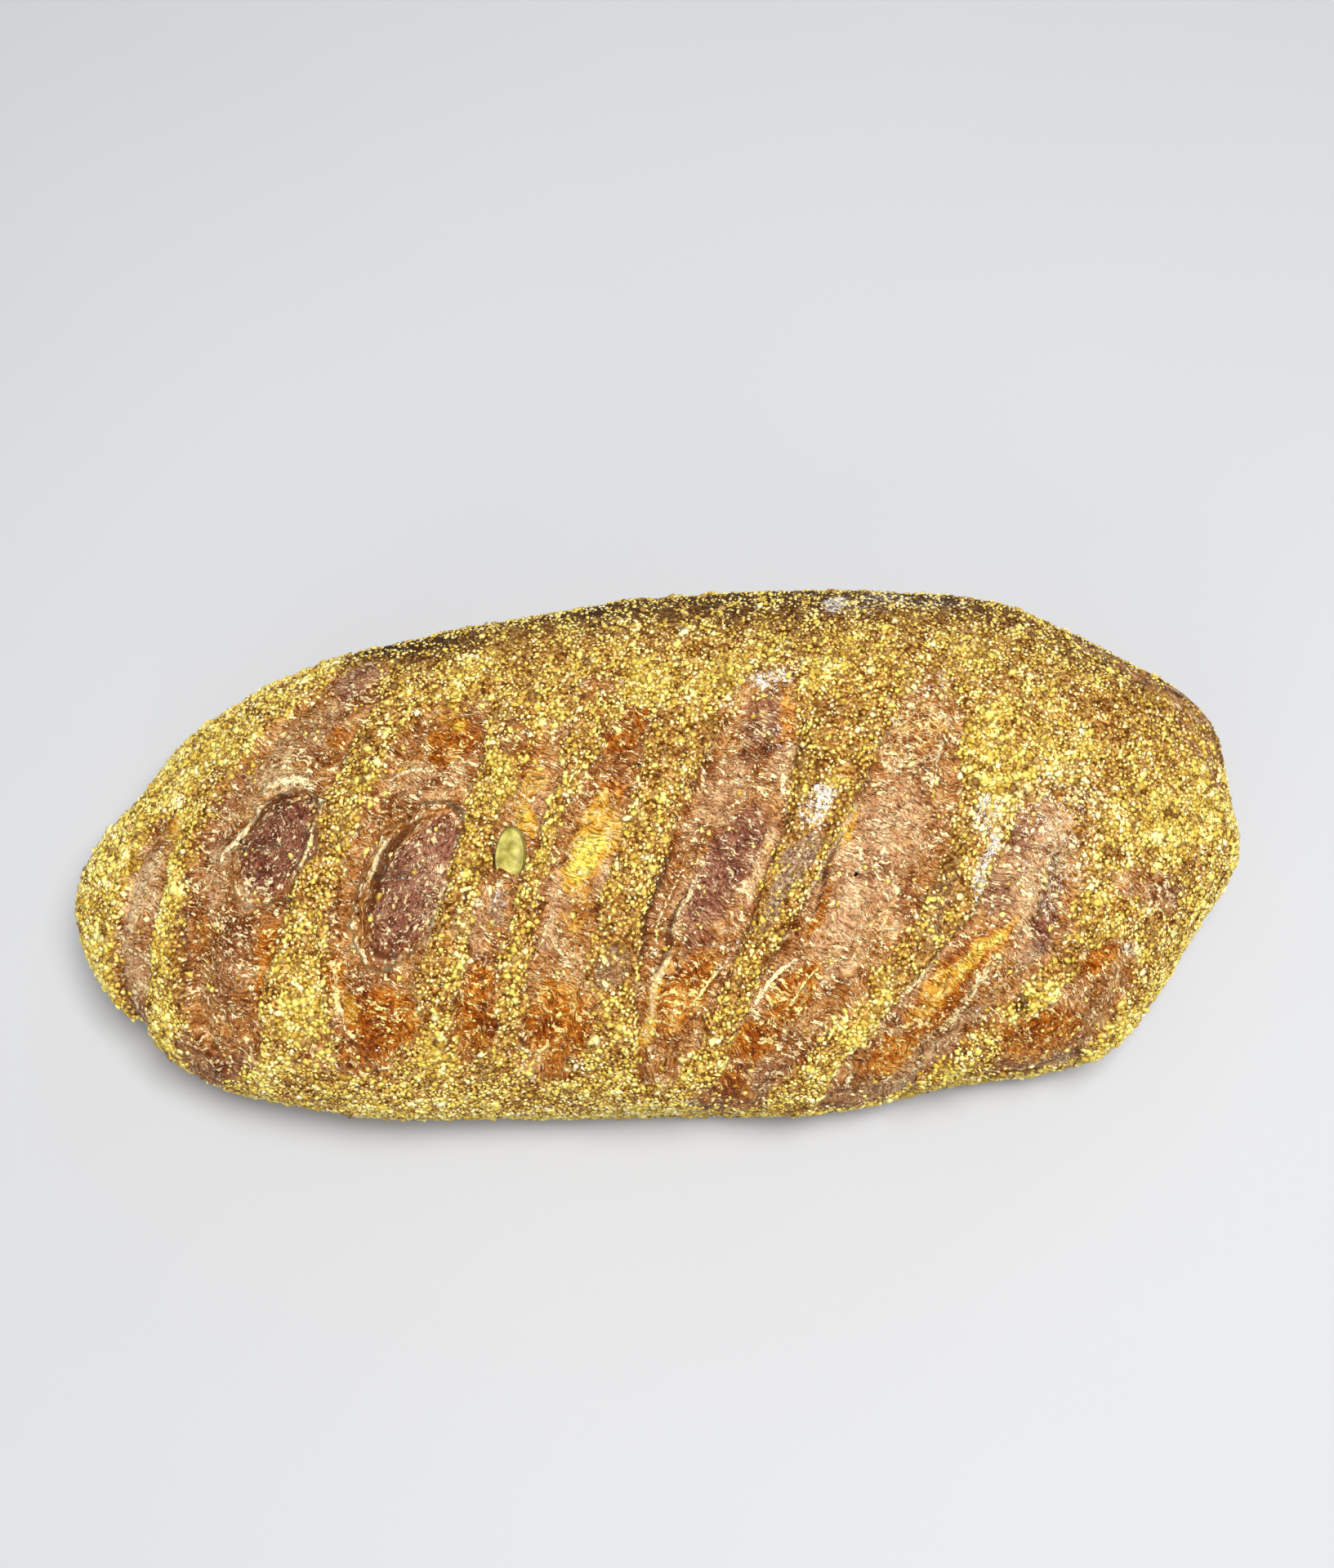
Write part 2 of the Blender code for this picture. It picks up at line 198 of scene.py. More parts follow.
AMBER = (
    Oval(-110, -22, 3.5, 6, 0.0, 0.6),
    Oval(-80.5, -33, 3.8, 11, 0.05, 0.95),
    Oval(-97, -22, 3, 10, 0.1, 0.6),
    Oval(-69, 17, 3, 3, 0.0, 0.7),
    Oval(-44, 14, 5.5, 7, 0.3, 1.1),
    Oval(-58, -42, 8, 6.5, 0.1, 1.0),
    Oval(-60, -47, 9, 3, 0.0, 0.6),
    Oval(21, -44, 4, 3, 0.8, 0.8),
    Oval(13, -54, 6, 4, 0.6, 0.8),
    Oval(-67, -34, 2.5, 7, 0.0, 0.7),
    Oval(-38.5, -40, 5, 9, 0.15, 1.0),
    Oval(-27, 10, 3.5, 8, 0.35, 0.5),
    Oval(-8, 15, 4.2, 8, 0.4, 0.8),
    Oval(-12, 0, 4, 5, 0.4, 0.8),
    Oval(-14, 25, 4, 3, 0.0, 0.5),
    Oval(-22, -43, 8, 8.5, 0.1, 0.95),
    Oval(4, -38, 5.5, 10, 0.5, 0.85),
    Oval(26, 20, 2.8, 8, 0.2, 0.7),
    Oval(19, 22, 6, 8, 0.3, 0.45),
    Oval(52, 16, 7, 9, 0.3, 0.55),
    Oval(31, -22, 1.8, 8, 0.4, 0.8),
    Oval(27, -38, 5.5, 7, 0.7, 0.95),
    Oval(18, -46, 7, 4, 1.0, 1.0),
    Oval(63, -16, 1.4, 8, 0.4, 0.7),
    Oval(68, -27, 3, 3, 0.5, 0.7),
    Oval(47, -47, 5, 3.5, 1.2, 0.9),
    Oval(55, -41, 4.5, 7, 1.1, 0.8),
    Oval(-78, 12, 4, 7, 0.4, 0.4),
    Oval(-90, -44, 5, 4, 0.0, 0.5),
    Oval(89, -28, 5, 4, 0.5, 0.9),
    Oval(77, -43, 9.5, 5.5, 1.1, 1.1),
    Oval(60, -33, 5, 13, 1.0, 0.8),
)
GLAZED = (
    Oval(-16, -12.5, 3.8, 6.2, 0.3, 1.05),
    Oval(-15, -10, 5.5, 13, 0.35, 0.58),
    Oval(-18, -23, 4, 6, 0.3, 0.38),
    Oval(-44, 20, 4, 3, 0.0, 0.42),
    Oval(-13, -1, 2, 3.5, 0.3, 0.6),
    Oval(-28, -4, 2, 5, 0.0, 0.75),
    Oval(-28, 2, 2.5, 9, 0.25, 0.32),
    Oval(-103, -1, 3, 6, 0.0, 0.62),
    Oval(-3, -41, 2.0, 8.5, 0.35, 0.62),
    Oval(37, -5, 2, 5, 0.4, 0.6),
    Oval(64, -29, 2.2, 6.5, 1.0, 0.74),
    Oval(60, -33, 3.2, 12, 1.05, 0.42),
    Oval(-64, -40, 2, 4, 0.0, 0.5),
    Oval(-42, 17, 2.2, 2, 0.0, 0.8),
)
FAIR = (
    Oval(41, -12, 11, 22, 0.45, 0.62),
    Oval(38, -20, 5, 10, 0.45, 0.75),
    Oval(24, -36, 8, 8, 0.9, 0.3),
    Oval(75, -12, 9, 16, 0.35, 0.62),
    Oval(56, -36, 8, 12, 0.9, 0.45),
    Oval(80, -38, 6, 6, 0.9, 0.3),
    Oval(18, -14, 2.5, 15, 0.45, 0.6),
    Oval(3, -22, 2, 9, 0.4, 0.5),
    Oval(-22, -26, 4, 7, 0.2, 0.6),
    Oval(-52, 5, 8, 5, 0.0, 0.4),
    Oval(-80, 17, 7, 7, 0.5, 0.35),
    Oval(-94, -12, 4, 12, 0.1, 0.6),
    Oval(-111, -20, 5, 18, 0.0, 0.8),
    Oval(-20, -18, 5, 7, 0.3, 0.6),
    Oval(12, 2, 6, 10, 0.3, 0.6),
    Oval(-38, -26, 3, 8, 0.1, 0.6),
    Oval(8, -4, 4, 7, 0.3, 0.5),
    Oval(-24, -3, 4, 6, 0.2, 0.5),
    Oval(-12, -17, 3, 5, 0.3, 0.6),
    Oval(-85, -17, 5, 4, 0.2, 0.4),
    Oval(24, 8, 3, 6, 0.2, 0.6),
    Oval(35, -33, 4, 7, 0.8, 0.6),
    Oval(57, -46, 3, 9, 1.2, 0.7),
    Oval(76, -26, 4, 6, 0.6, 0.6),
    Oval(86, -23, 5, 5, 0.4, 0.6),
    Oval(-88, 8, 6, 6, 0.3, 0.5),
    Oval(-72, 20, 5, 8, 0.4, 0.5),
)
DENSE = (
    Oval(-118, 0, 9, 24, 0.0, 0.5),
    Oval(-100, 16, 12, 14, 0.9, 0.58),
    Oval(-104, -13, 3.5, 20, 0.1, 0.8),
    Oval(-74, -40, 4.5, 9, 0.0, 0.4),
    Oval(-119, -25, 6, 11, 0.0, 0.8),
    Oval(-104, -38, 4, 7, 0.0, 0.6),
    Oval(-66, -5, 3, 10, 0.2, 0.3),
    Oval(-44, 32, 6, 6, 0.0, 0.3),
    Oval(-47, -45, 3, 5, 0.1, 0.4),
    Oval(-40, -60, 50, 4, 0.0, 0.5),
    Oval(-9, -3, 3.5, 8, 0.2, 0.35),
    Oval(-3, 27, 9, 7, 0.0, 0.38),
    Oval(-78, 36, 12, 4, 0.0, 0.5),
    Oval(14, 30, 8, 5, 0.0, 0.6),
    Oval(35, 29, 7, 6, 0.0, 0.5),
    Oval(21, 50, 9, 4, 0.0, 0.5),
    Oval(29, 8, 4, 8, 0.0, 0.3),
    Oval(68, 10, 7, 14, 0.0, 0.6),
    Oval(79, 13, 7, 10, 0.0, 0.3),
    Oval(94, -39, 7, 6, 0.0, 0.8),
    Oval(46, -57, 10, 4, 0.0, 0.5),
    Oval(105, 0, 8, 7, 0.0, 0.5),
    Oval(117, 6, 6, 10, 0.0, 0.5),
    Oval(76, -36, 7, 3.5, 1.2, 0.6),
    Oval(40, -43, 4, 7, 0.5, 0.5),
    Oval(-35, 2, 3, 8, 0.0, 0.4),
    Oval(-25.5, -7, 3, 8, 0.1, 0.7),
    Oval(-37, -29, 3.4, 8, 0.1, 0.65),
)
SPARSE = (
    Oval(-46, -24, 4, 15, 0.1, 0.5),
    Oval(-46, -39, 4, 7, 0.0, 0.45),
    Oval(-71, -14, 3, 8, 0.1, 0.35),
    Oval(-52, 33, 7, 5, 0.0, 0.4),
    Oval(19, 26, 8, 6, 0.0, 0.4),
    Oval(27, -8, 5, 16, 0.45, 0.3),
    Oval(-88, 28, 6, 9, 0.6, 0.3),
    Oval(25, -16, 4, 14, 0.45, 0.5),
    Oval(17, -35, 5, 5, 0.8, 0.3),
    Oval(-11, -28, 6, 12, 0.2, 0.5),
    Oval(-1, 10, 5, 14, 0.2, 0.4),
    Oval(100, 26, 14, 9, -0.3, 0.4),
    Oval(112, 36, 12, 12, -0.3, 0.4),
    Oval(-42, 47, 26, 6, 0.0, 0.4),
    Oval(52, 49, 28, 6, 0.0, 0.4),
    Oval(-25, 40, 16, 6, 0.0, 0.5),
    Oval(2, 38, 8, 5, 0.0, 0.4),
    Oval(10, 14, 6, 10, 0.3, 0.3),
    Oval(36, 20, 4, 10, 0.0, 0.25),
)
DARK = (
    # along the far rim these are partly scorched crust and partly painted shade on the far flank
    Oval(-57, 43, 20, 8.5, 0.0, 0.9),
    Oval(-32, 54, 34, 11, 0.0, 0.85),
    Oval(54, 59, 40, 13, 0.0, 0.85),
    Oval(0, 58, 92, 16, 0.0, 0.82),
    Oval(98, 44, 20, 11, -0.5, 0.65),
    Oval(25, 4, 6, 18, 0.45, 0.4),
    Oval(60, -14, 4, 18, 0.45, 0.35),
    Oval(116, 36, 9, 20, -0.7, 0.85),
    Oval(70, -37, 2.6, 2.2, 0.0, 0.9),
    Oval(-63, 42.5, 9, 4, 0.3, 1.1),
    Oval(-17, 50, 8, 5, 0.0, 0.95),
)
DUSTY = (
    Oval(26, -14, 3.5, 9, 0.5, 1.0),
    Oval(21, -23, 2.5, 4, 0.5, 0.7),
    Oval(-11, -33, 4, 6, 0.2, 0.6),
    Oval(55, -22, 3, 10, 0.4, 0.5),
    Oval(-42, -25, 3, 6, 0.1, 0.5),
    Oval(-33, -22, 2.5, 5, 0.0, 0.7),
    Oval(74, -30, 3, 5, 0.6, 0.5),
)
FLOURED = (
    Oval(31, -1, 3.5, 5.5, 0.4, 0.95),
    Oval(66, -2, 3.5, 5, 0.4, 0.85),
    Oval(65.3, -13, 1.9, 10, 0.4, 1.1),
    Oval(22, 28, 6, 3.5, 0.6, 0.8),
    Oval(37, 51, 3.5, 4, 0.3, 0.9),
    Oval(43, 49, 4, 2, 0.0, 0.7),
    Oval(46, 53, 2.5, 2, 0.0, 0.6),
    Oval(56, 27, 4, 4, 0.4, 0.5),
    Oval(87, -11, 3, 4, 0.0, 0.4),
    Oval(73, -11, 2.5, 4, 0.3, 0.3),
    Oval(24, 15, 3, 5, 0.0, 0.35),
    Oval(97, -25, 2, 1.2, 0.6, 0.9),
    Oval(-32.5, -21, 2.5, 4, 0.0, 0.4),
    Oval(80, 5, 6, 3, 0.0, 0.35),
    Oval(81, 1, 12, 11, 0.2, 0.4),
    Oval(81, -13, 4, 12, 0.3, 0.3),
    Oval(54, 53, 15, 4, 0.0, 0.45),
    Oval(-30, -60, 70, 5, 0.0, 0.2),
)
CRAZED = (
    Oval(52, 14, 9, 10, 0.3, 0.85),
    Oval(-80, 9, 9, 5, 0.2, 0.7),
    Oval(-46, -21, 3, 10, 0.3, 0.8),
    Oval(-44, 8, 7, 6, 0.2, 0.4),
    Oval(-10, 19, 5, 7, 0.3, 0.6),
    Oval(18, 19, 7, 7, 0.3, 0.5),
    Oval(82, -6, 6, 9, 0.3, 0.8),
    Oval(-18, -34, 6, 7, 0.2, 0.6),
    Oval(103, -13, 7, 5, 0.3, 0.5),
    Oval(76, -16, 6, 12, 0.35, 0.6),
    Oval(4, -38, 8, 10, 0.4, 0.35),
    Oval(27, -40, 8, 8, 0.8, 0.5),
)
BLISTERS = (
    Oval(-42, 18, 2.6, 2.3, 0.0, 1.0),
    Oval(-69, 19, 3.0, 2.6, 0.0, 0.9),
    Oval(-20, -26, 1.6, 3.0, 0.2, 0.8),
    Oval(-64, -38, 3.2, 2.8, 0.0, 0.9),
    Oval(-65, -45, 2.4, 3.0, 0.0, 0.8),
    Oval(36, -25, 2.2, 3.6, 0.3, 0.8),
    Oval(50, -10, 1.6, 2.0, 0.0, 0.6),
)
# pores sunk into the crust and painted near black, as painted shade in the holes
PORES = (
    Oval(-89.5, -5, 0.5, 0.6, 0.0, 1.0),
    Oval(-53, -2.5, 0.6, 0.4, 0.0, 1.0),
    Oval(-63, -22.5, 0.4, 0.5, 0.0, 1.0),
    Oval(39, -15, 0.45, 0.45, 0.0, 1.0),
    Oval(-97.5, -7.5, 0.5, 0.5, 0.0, 1.0),
    Oval(-14.5, -5, 0.45, 0.45, 0.0, 0.9),
)

# Lines on the crust through three points, in the same millimetres, with their half width
Line = namedtuple("Line", "x1 y1 x2 y2 x3 y3 width")
LIPS = (
    Line(-84, 3, -90, -5, -94, -12, 1.2),
    Line(-86, 5, -80, 8, -72, 6, 2.0),
    Line(-54, -5, -59, -12, -63, -21, 1.2),
    Line(-71, -1, -73, -8, -77, -16, 0.8),
    Line(-66, -29, -67, -38, -65, -45, 0.7),
    Line(8, -12, 4, -21, 1, -29, 0.9),
    Line(1, -29, -2, -37, -6, -49, 1.4),
    Line(5, -9, 0, -22, -4, -33, 0.5),
    Line(14, -30, 9, -36, 3, -42, 0.5),
    Line(24, 10, 24, 4, 23, 0, 1.1),
    Line(40, 2, 37, -5, 34, -12, 1.0),
    Line(36, 0, 31, -14, 26, -26, 0.6),
    Line(28, -31, 22, -36, 11, -50, 0.8),
    Line(34, -28, 27, -38, 16, -51, 0.5),
    Line(69, -4, 66, -12, 64, -21, 0.9),
    Line(70, -27, 62, -37, 54, -48, 0.9),
    Line(60, -24, 52, -35, 40, -48, 0.6),
    Line(66, -32, 58, -41, 48, -51, 0.5),
    Line(-21, -20, -25, -28, -27, -34, 0.6),
    Line(-28, -49, -25, -47, -23, -46, 0.7),
    Line(60, 20, 56, 8, 54, 0, 0.6),
    Line(-60, 4, -52, 8, -44, 5, 0.7),
)
# grooves sunk into the crust, which the crust's finish also paints dark brown as painted shade
GROOVES = (
    Line(-98, -4, -101, -20, -98, -40, 1.0),
    Line(-88, -6, -83, 3, -74, 4, 1.5),
    Line(-49, -2, -57, -12, -60.5, -25, 1.8),
    Line(-61, -27, -57, -31, -51, -30, 0.8),
    Line(26, -1, 21, -17, 14, -31, 1.6),
    Line(67, -5, 63, -16, 58, -26, 0.5),
    Line(68, -29, 60, -39, 50, -49, 0.4),
    Line(38, -3, 33, -15, 28, -27, 0.7),
    Line(5, -17, 1, -27, -3, -38, 0.8),
    Line(1, -8, -3, -22, -8, -38, 1.1),
    Line(-34.5, -5, -35.5, -12, -34, -18, 0.7),
    Line(-11, -55, 2, -56, 16, -54, 1.0),
    Line(56, -51, 72, -50, 88, -45, 1.2),
    Line(-73, -20, -70, -32, -71, -46, 0.7),
)
LIP_HEIGHT = 0.6 * MM
GROOVE_DEPTH = 0.8 * MM
BLISTER_HEIGHT = 0.9 * MM
PORE_DEPTH = 1.4 * MM
WRINKLE_HEIGHT = 0.20 * MM

# How the marks' edges stray: how long the swells are, and how far they move a place, in millimetres
MARK_SWELLS = ((7 * MM, 1.3), (2.8 * MM, 1.0))
DARK_SWELLS = ((12 * MM, 6),)
CLUMP_SIZE = 2.6 * MM  # of grits that lie together
MISSING_GRITS = {"dark": 0.72, "floured": 0.7, "dusty": 0.5, "glazed": 1}  # as a share, in each mark
STRETCH_TURN = math.radians(28)  # how far the crust's stretch marks lean down to the right
ROUND_MARKS = 1.2  # on pillows that stand at least this high the marks run round

# ---------------------------------------------------------------- the net and the grits
NET_CUTS = ((69, 3), (59, 1), (71,))  # cuts along X, Y and Z: each of the first cut's parts is cut again
LINE_STEPS = 61
RANDOM_SEED = 5
GRIT_DRAWS = 120000
MEAL_DRAWS = 24000
GRIT_SPACING = 0.74 * MM
MEAL_SPACING = 0.5 * MM
GRIT_WIDTH = 1.25 * MM  # the usual one
GRIT_WIDTHS = (0.6 * MM, 2.3 * MM)  # the least and the most
MEAL_WIDTHS = (0.35 * MM, 0.7 * MM)
LOWEST_GRIT = 0.6 * MM  # none is laid on crust that is lower
FLOOR_GAP = 0.05 * MM  # none reaches down further

# Their shapes
CHIP_SHAPES = 40
GRIT_CORNERS = 7
MEAL_CORNERS = 6
CORNER_PUSHES = 12  # how often the corners are pushed apart, and how hard
CORNER_PUSH = 0.08
CORNER_REACH = (0.7, 1.16)  # how far out a corner is, against an even chip's
CHIP_STRETCH = (0.65, 1.35)  # along the crust
GRIT_FLATNESS = (0.4, 0.7)  # thickness against width
MEAL_FLATNESS = (0.5, 0.9)
GRIT_TILT = 0.3  # how much they lean to one side or another
MEAL_TILT = 0.6
CHIP_SINK = 0.3  # share of the thickness that is under the crust

# ---------------------------------------------------------------- the pumpkin seed
SEED_LENGTH = 13 * MM
SEED_WIDTH = 6.6 * MM
SEED_THICKNESS = 2.6 * MM
SEED_PLACE = (-31.3 * MM, -15.2 * MM)
SEED_HEADING = math.radians(-98)
SEED_DIP = math.radians(16)  # how far its point is tipped down into the crust
SEED_SINK = 0.45 * MM  # its middle lies this far under the crust
SEED_HOLLOW = Oval(-31.5, -11.5, 4.5, 8, 0.0, 0.7)  # the dent that it lies in

# ---------------------------------------------------------------- the picture
PHOTO_WIDTH, PHOTO_HEIGHT = 1633, 1919
LOAF_PIXEL = (814, 1029)  # where AIM_POINT is seen in the photograph
AIM_POINT = (0.0, 0.0, 33 * MM)
CAMERA_HEIGHT_ANGLE = math.radians(70)
CAMERA_DISTANCE = 450 * MM
FOCAL_PIXELS = 2490
SENSOR_WIDTH = 36  # in millimetres, as a lens is given
NEAREST_SEEN = 10 * MM
FLOOR_SIDE = 4  # in metres
LIT_POINT = (0, 0, 30 * MM)
WORLD_STRENGTH = 0.30
Light = namedtuple("Light", "name place side watts")
LIGHTS = (
    Light("overhead", place=(0.12, -0.12, 0.9), side=0.30, watts=10.1),
    Light("near side", place=(-0.8, -1.9, 0.8), side=1.6, watts=12),
    Light("far side", place=(0.8, 1.9, 0.8), side=1.6, watts=8),
)


# ================================================================ form
def outline_share(turn):
    """OUTLINE at angles in radians, as a smooth closed curve through its values."""
    shares = np.array(OUTLINE)
    place = turn / (2 * math.pi) * len(shares)
    at = np.floor(place).astype(int)
    t = place - at
    a, b, c, d = (shares[(at + step) % len(shares)] for step in (-1, 0, 1, 2))
    return b + t / 2 * (c - a + t * (2 * a - 5 * b + 4 * c - d + t * (3 * (b - c) + d - a)))


def plain_form(directions):
    """The unscored loaf's surface points for unit directions from its middle."""
    x, y, z = directions.T
    turn = np.arctan2(y, x)
    level = np.hypot(x, y)
    crown_reach = level**FLANK_FULLNESS
    crown_height = BELLY_HEIGHT + (HEIGHT - BELLY_HEIGHT) * np.abs(z) ** CROWN_FULLNESS

    # below the belly the flank turns in to the sole, and from there on the sole is flat
    dip = np.arctan2(-z, level) / (math.pi / 2)
    bend = np.clip(dip / UNDERSIDE_ROUNDING, 0, 1) * math.pi / 2
    under_reach = SOLE_SHARE + (1 - SOLE_SHARE) * np.cos(bend) ** UNDERSIDE_FULLNESS
    sole_reach = SOLE_SHARE * (1 - dip) / (1 - UNDERSIDE_ROUNDING)
    under_reach = np.where(dip > UNDERSIDE_ROUNDING, sole_reach, under_reach)
    under_height = BELLY_HEIGHT - (BELLY_HEIGHT + SOLE_DEPTH) * np.sin(bend)

    reach = np.where(z >= 0, crown_reach, under_reach) * outline_share(turn)
    height = np.where(z >= 0, crown_height, under_height)
    along = MIDDLE[0] + np.cos(turn) * reach * LENGTH / 2
    across = MIDDLE[1] + np.sin(turn) * reach * WIDTH / 2
    return np.stack((along, across, height), axis=1)


def ramp(value, low, high):
    """A smooth step from 0 at low to 1 at high."""
    t = np.clip((value - low) / (high - low), 0, 1)
    return t * t * (3 - 2 * t)


def bump(value, middle, spread):
    """A rounded peak of 1 over the middle."""
    return np.exp(-(((value - middle) / spread) ** 2))


def waves(points, size, place=0.0):
    """Smooth noise over the points, about -1 to 1, with swells of about this size."""
    shift = Vector((place, place, place))
    return np.array([noise.noise(Vector(point) / size + shift) for point in points])


def oval_gap(oval, x, y):
    """How far out from an oval's middle points are: 1 on its outline."""
    along = x - oval.x - oval.lean * (y - oval.y)
    return np.hypot(along / oval.rx, (y - oval.y) / oval.ry)


def ovals(places, x, y, inner=0.55, outer=1.25):
    """How far inside a set of soft-edged ovals points are, 0 to the ovals' own much."""
    most = np.zeros(len(x))
    for oval in places:
        most = np.maximum(most, oval.much * (1 - ramp(oval_gap(oval, x, y), inner, outer)))
    return most


def lines(places, x, y):
    """How near points are to a set of lines: 1 on one, tapering to its ends."""
    most = np.zeros(len(x))
    t = np.linspace(0, 1, LINE_STEPS)
    for line in places:
        first, middle, last = (1 - t) * (1 - 2 * t), 4 * t * (1 - t), t * (2 * t - 1)
        line_x = line.x1 * first + line.x2 * middle + line.x3 * last
        line_y = line.y1 * first + line.y2 * middle + line.y3 * last
        reach = 3 * line.width
        near = (x > line_x.min() - reach) & (x < line_x.max() + reach)
        near = np.flatnonzero(near & (y > line_y.min() - reach) & (y < line_y.max() + reach))
        gaps = np.hypot(x[near, None] - line_x, y[near, None] - line_y)
        at = gaps.argmin(axis=1)
        taper = np.sqrt(np.clip(middle[at], 0.02, 1))
        share = np.exp(-((gaps[np.arange(len(near)), at] / line.width / taper) ** 2)) * taper
        most[near] = np.maximum(most[near], share)
    return most


def across_score(score, x, y):
    """Where points lie across a score, from -1 at its left edge to 1 at its right, and along it, 0 to 1."""
    t = np.clip((score.far - y) / (score.far - score.near), 0, 1)
    middle = score.x_far * (1 - t) * (1 - 2 * t) + score.x_middle * 4 * t * (1 - t)
    middle = middle + score.x_near * t * (2 * t - 1)
    slant = score.x_far * (4 * t - 3) + score.x_middle * (4 - 8 * t) + score.x_near * (4 * t - 1)
    slant = slant / (score.far - score.near)
    half_width = score.half_width * (0.1 + 0.9 * (4 * t * (1 - t)) ** 0.6)
    return (x - middle) / np.sqrt(1 + slant**2) / half_width, t


def score_relief(x, y):
    """Height of the scores: a lifted left edge, then a face that falls to the foot of the next strip."""
    relief = np.zeros(len(x))
    stepped = np.zeros(len(x))
    for score in SCORES:
        c, t = across_score(score, x, y)
        depth = score.depth * MM * ramp(t, 0, 0.25) * ramp(1 - t, 0, 0.15)
        face = 0.25 + 0.75 * np.clip(((c - 0.1) / 1.05) ** 2, 0, 1)
        hollow = face * ramp(c, -1.05, -0.82) * ramp(1.15 - c, 0, 0.4)
        relief += depth * (EAR_SHARE * bump(c, -1.06, 0.14) - hollow)
        inside = ramp(c, -1.1, -0.95) * ramp(1.05 - c, 0, 0.15)
        stepped = np.maximum(stepped, inside * ramp(t, 0, 0.15) * ramp(1 - t, 0, 0.08))
    return relief + STRIP_CROWN * (1 - stepped)


def pillow_relief(x, y):
    """Crust that bulges out of the scores in smooth ovals, each with a crease round it."""
    relief = np.zeros(len(x))
    for oval in PILLOWS:
        dome = np.sqrt(np.clip(1 - oval_gap(oval, x, y) ** 2, 0, 1))
        relief = np.maximum(relief, oval.much * MM * dome)
    return relief


def in_scores(x, y):
    """How far the scores lay the crust bare at points, 0 to 1."""
    bare = np.zeros(len(x))
    for score in SCORES:
        c, t = across_score(score, x, y)
        faded = ramp(c, -1.12, -0.92) * ramp(1.15 - c, 0, 0.3) * ramp(t, 0, 0.16) * ramp(1 - t, 0, 0.06)
        bare = np.maximum(bare, faded)
    return bare


def stretch_lines(x, y):
    """The way the crust has stretched, as millimetres along and across it: round each high pillow, and
    elsewhere across the scores."""
    cos, sin = np.cos(STRETCH_TURN), np.sin(STRETCH_TURN)
    flow = np.stack((x * cos - y * sin, x * sin + y * cos, 0 * x), axis=1)
    for oval in PILLOWS:
        gap = oval_gap(oval, x, y)
        on = (gap < 1.1) & (oval.much >= ROUND_MARKS)
        flow[on, 0] = np.arctan2(y[on] - oval.y, x[on] - oval.x) * (oval.rx + oval.ry) / 2
        flow[on, 1] = gap[on] * oval.rx + 40 * oval.much  # each pillow in its own part of the pattern
    return flow


# ================================================================ crust
def deselect_everything():
    for other in bpy.context.view_layer.objects:
        other.select_set(False)


def cube_net():
    """A cube cut into an even net, so that no pole lies on the crown."""
    deselect_everything()
    bpy.ops.mesh.primitive_cube_add(size=2)
    crust = bpy.context.active_object
    bpy.ops.object.mode_set(mode="EDIT")
    bpy.context.tool_settings.mesh_select_mode = (False, True, False)
    for axis, cuts in enumerate(NET_CUTS):
        for count in cuts:
            bm = bmesh.from_edit_mesh(crust.data)
            for edge in bm.edges:
                start, end = (vert.co[axis] for vert in edge.verts)
                edge.select_set(abs(start - end) > 1e-4)  # it runs along this axis
            bmesh.update_edit_mesh(crust.data)
            bpy.ops.mesh.subdivide(number_cuts=count)
    bpy.ops.object.mode_set(mode="OBJECT")
    return crust


def read_points(mesh, what="co"):
    """The places of a mesh's points, or their normals."""
    values = np.empty(len(mesh.vertices) * 3)
    mesh.vertices.foreach_get(what, values)
    return values.reshape(-1, 3)


def write_points(mesh, points):
    mesh.vertices.foreach_set("co", points.ravel())
    mesh.update()


def write_attribute(mesh, name, values):
    kind, key = ("FLOAT", "value") if values.ndim == 1 else ("FLOAT_VECTOR", "vector")
    layer = mesh.attributes.new(name, kind, "POINT")
    layer.data.foreach_set(key, values.astype(np.float32).ravel())


def read_attribute(mesh, name):
    values = np.empty(len(mesh.vertices))
    mesh.attributes[name].data.foreach_get("value", values)
    return values


def push_out(mesh, heights):
    """Move every point along its normal."""
    write_points(mesh, read_points(mesh) + read_points(mesh, "normal") * heights[:, None])


def crown_places(form):
    """Points in millimetres from the loaf's middle, strayed as the scores' ragged edges are."""
    long_swells, short_swells = WANDER_SWELLS
    stray = EDGE_WANDER * (waves(form, long_swells, 3.1) + 0.5 * waves(form, short_swells, 8.7))
    return (form[:, 0] + stray - MIDDLE[0]) / MM, (form[:, 1] - MIDDLE[1]) / MM


def strayed(places, form, swells, start):
    """Places in millimetres, moved about in swells so that no mark has an even edge."""
    for step, (size, reach) in enumerate(swells):
        places = places + reach * waves(form, size, start + step)
    return places


def shape_relief(form):
    """The crust's scores, pillows, lips and swells, as heights over the plain form."""
    x, y = crown_places(form)
    relief = score_relief(x, y) + pillow_relief(x, y)
    relief += LIP_HEIGHT * lines(LIPS, x, y) - GROOVE_DEPTH * lines(GROOVES, x, y)
    relief -= SEED_HOLLOW.much * MM * (1 - ramp(oval_gap(SEED_HOLLOW, x, y), 0.5, 1.2))
    broad_length, broad_height = BROAD_SWELLS
    small_length, small_height = SMALL_SWELLS
    swells = broad_height * waves(form, broad_length) + small_height * waves(form, small_length, 7.3)
    return ramp(form[:, 2], *SCORED_ABOVE) * relief + ramp(form[:, 2], *SWELLING_ABOVE) * swells


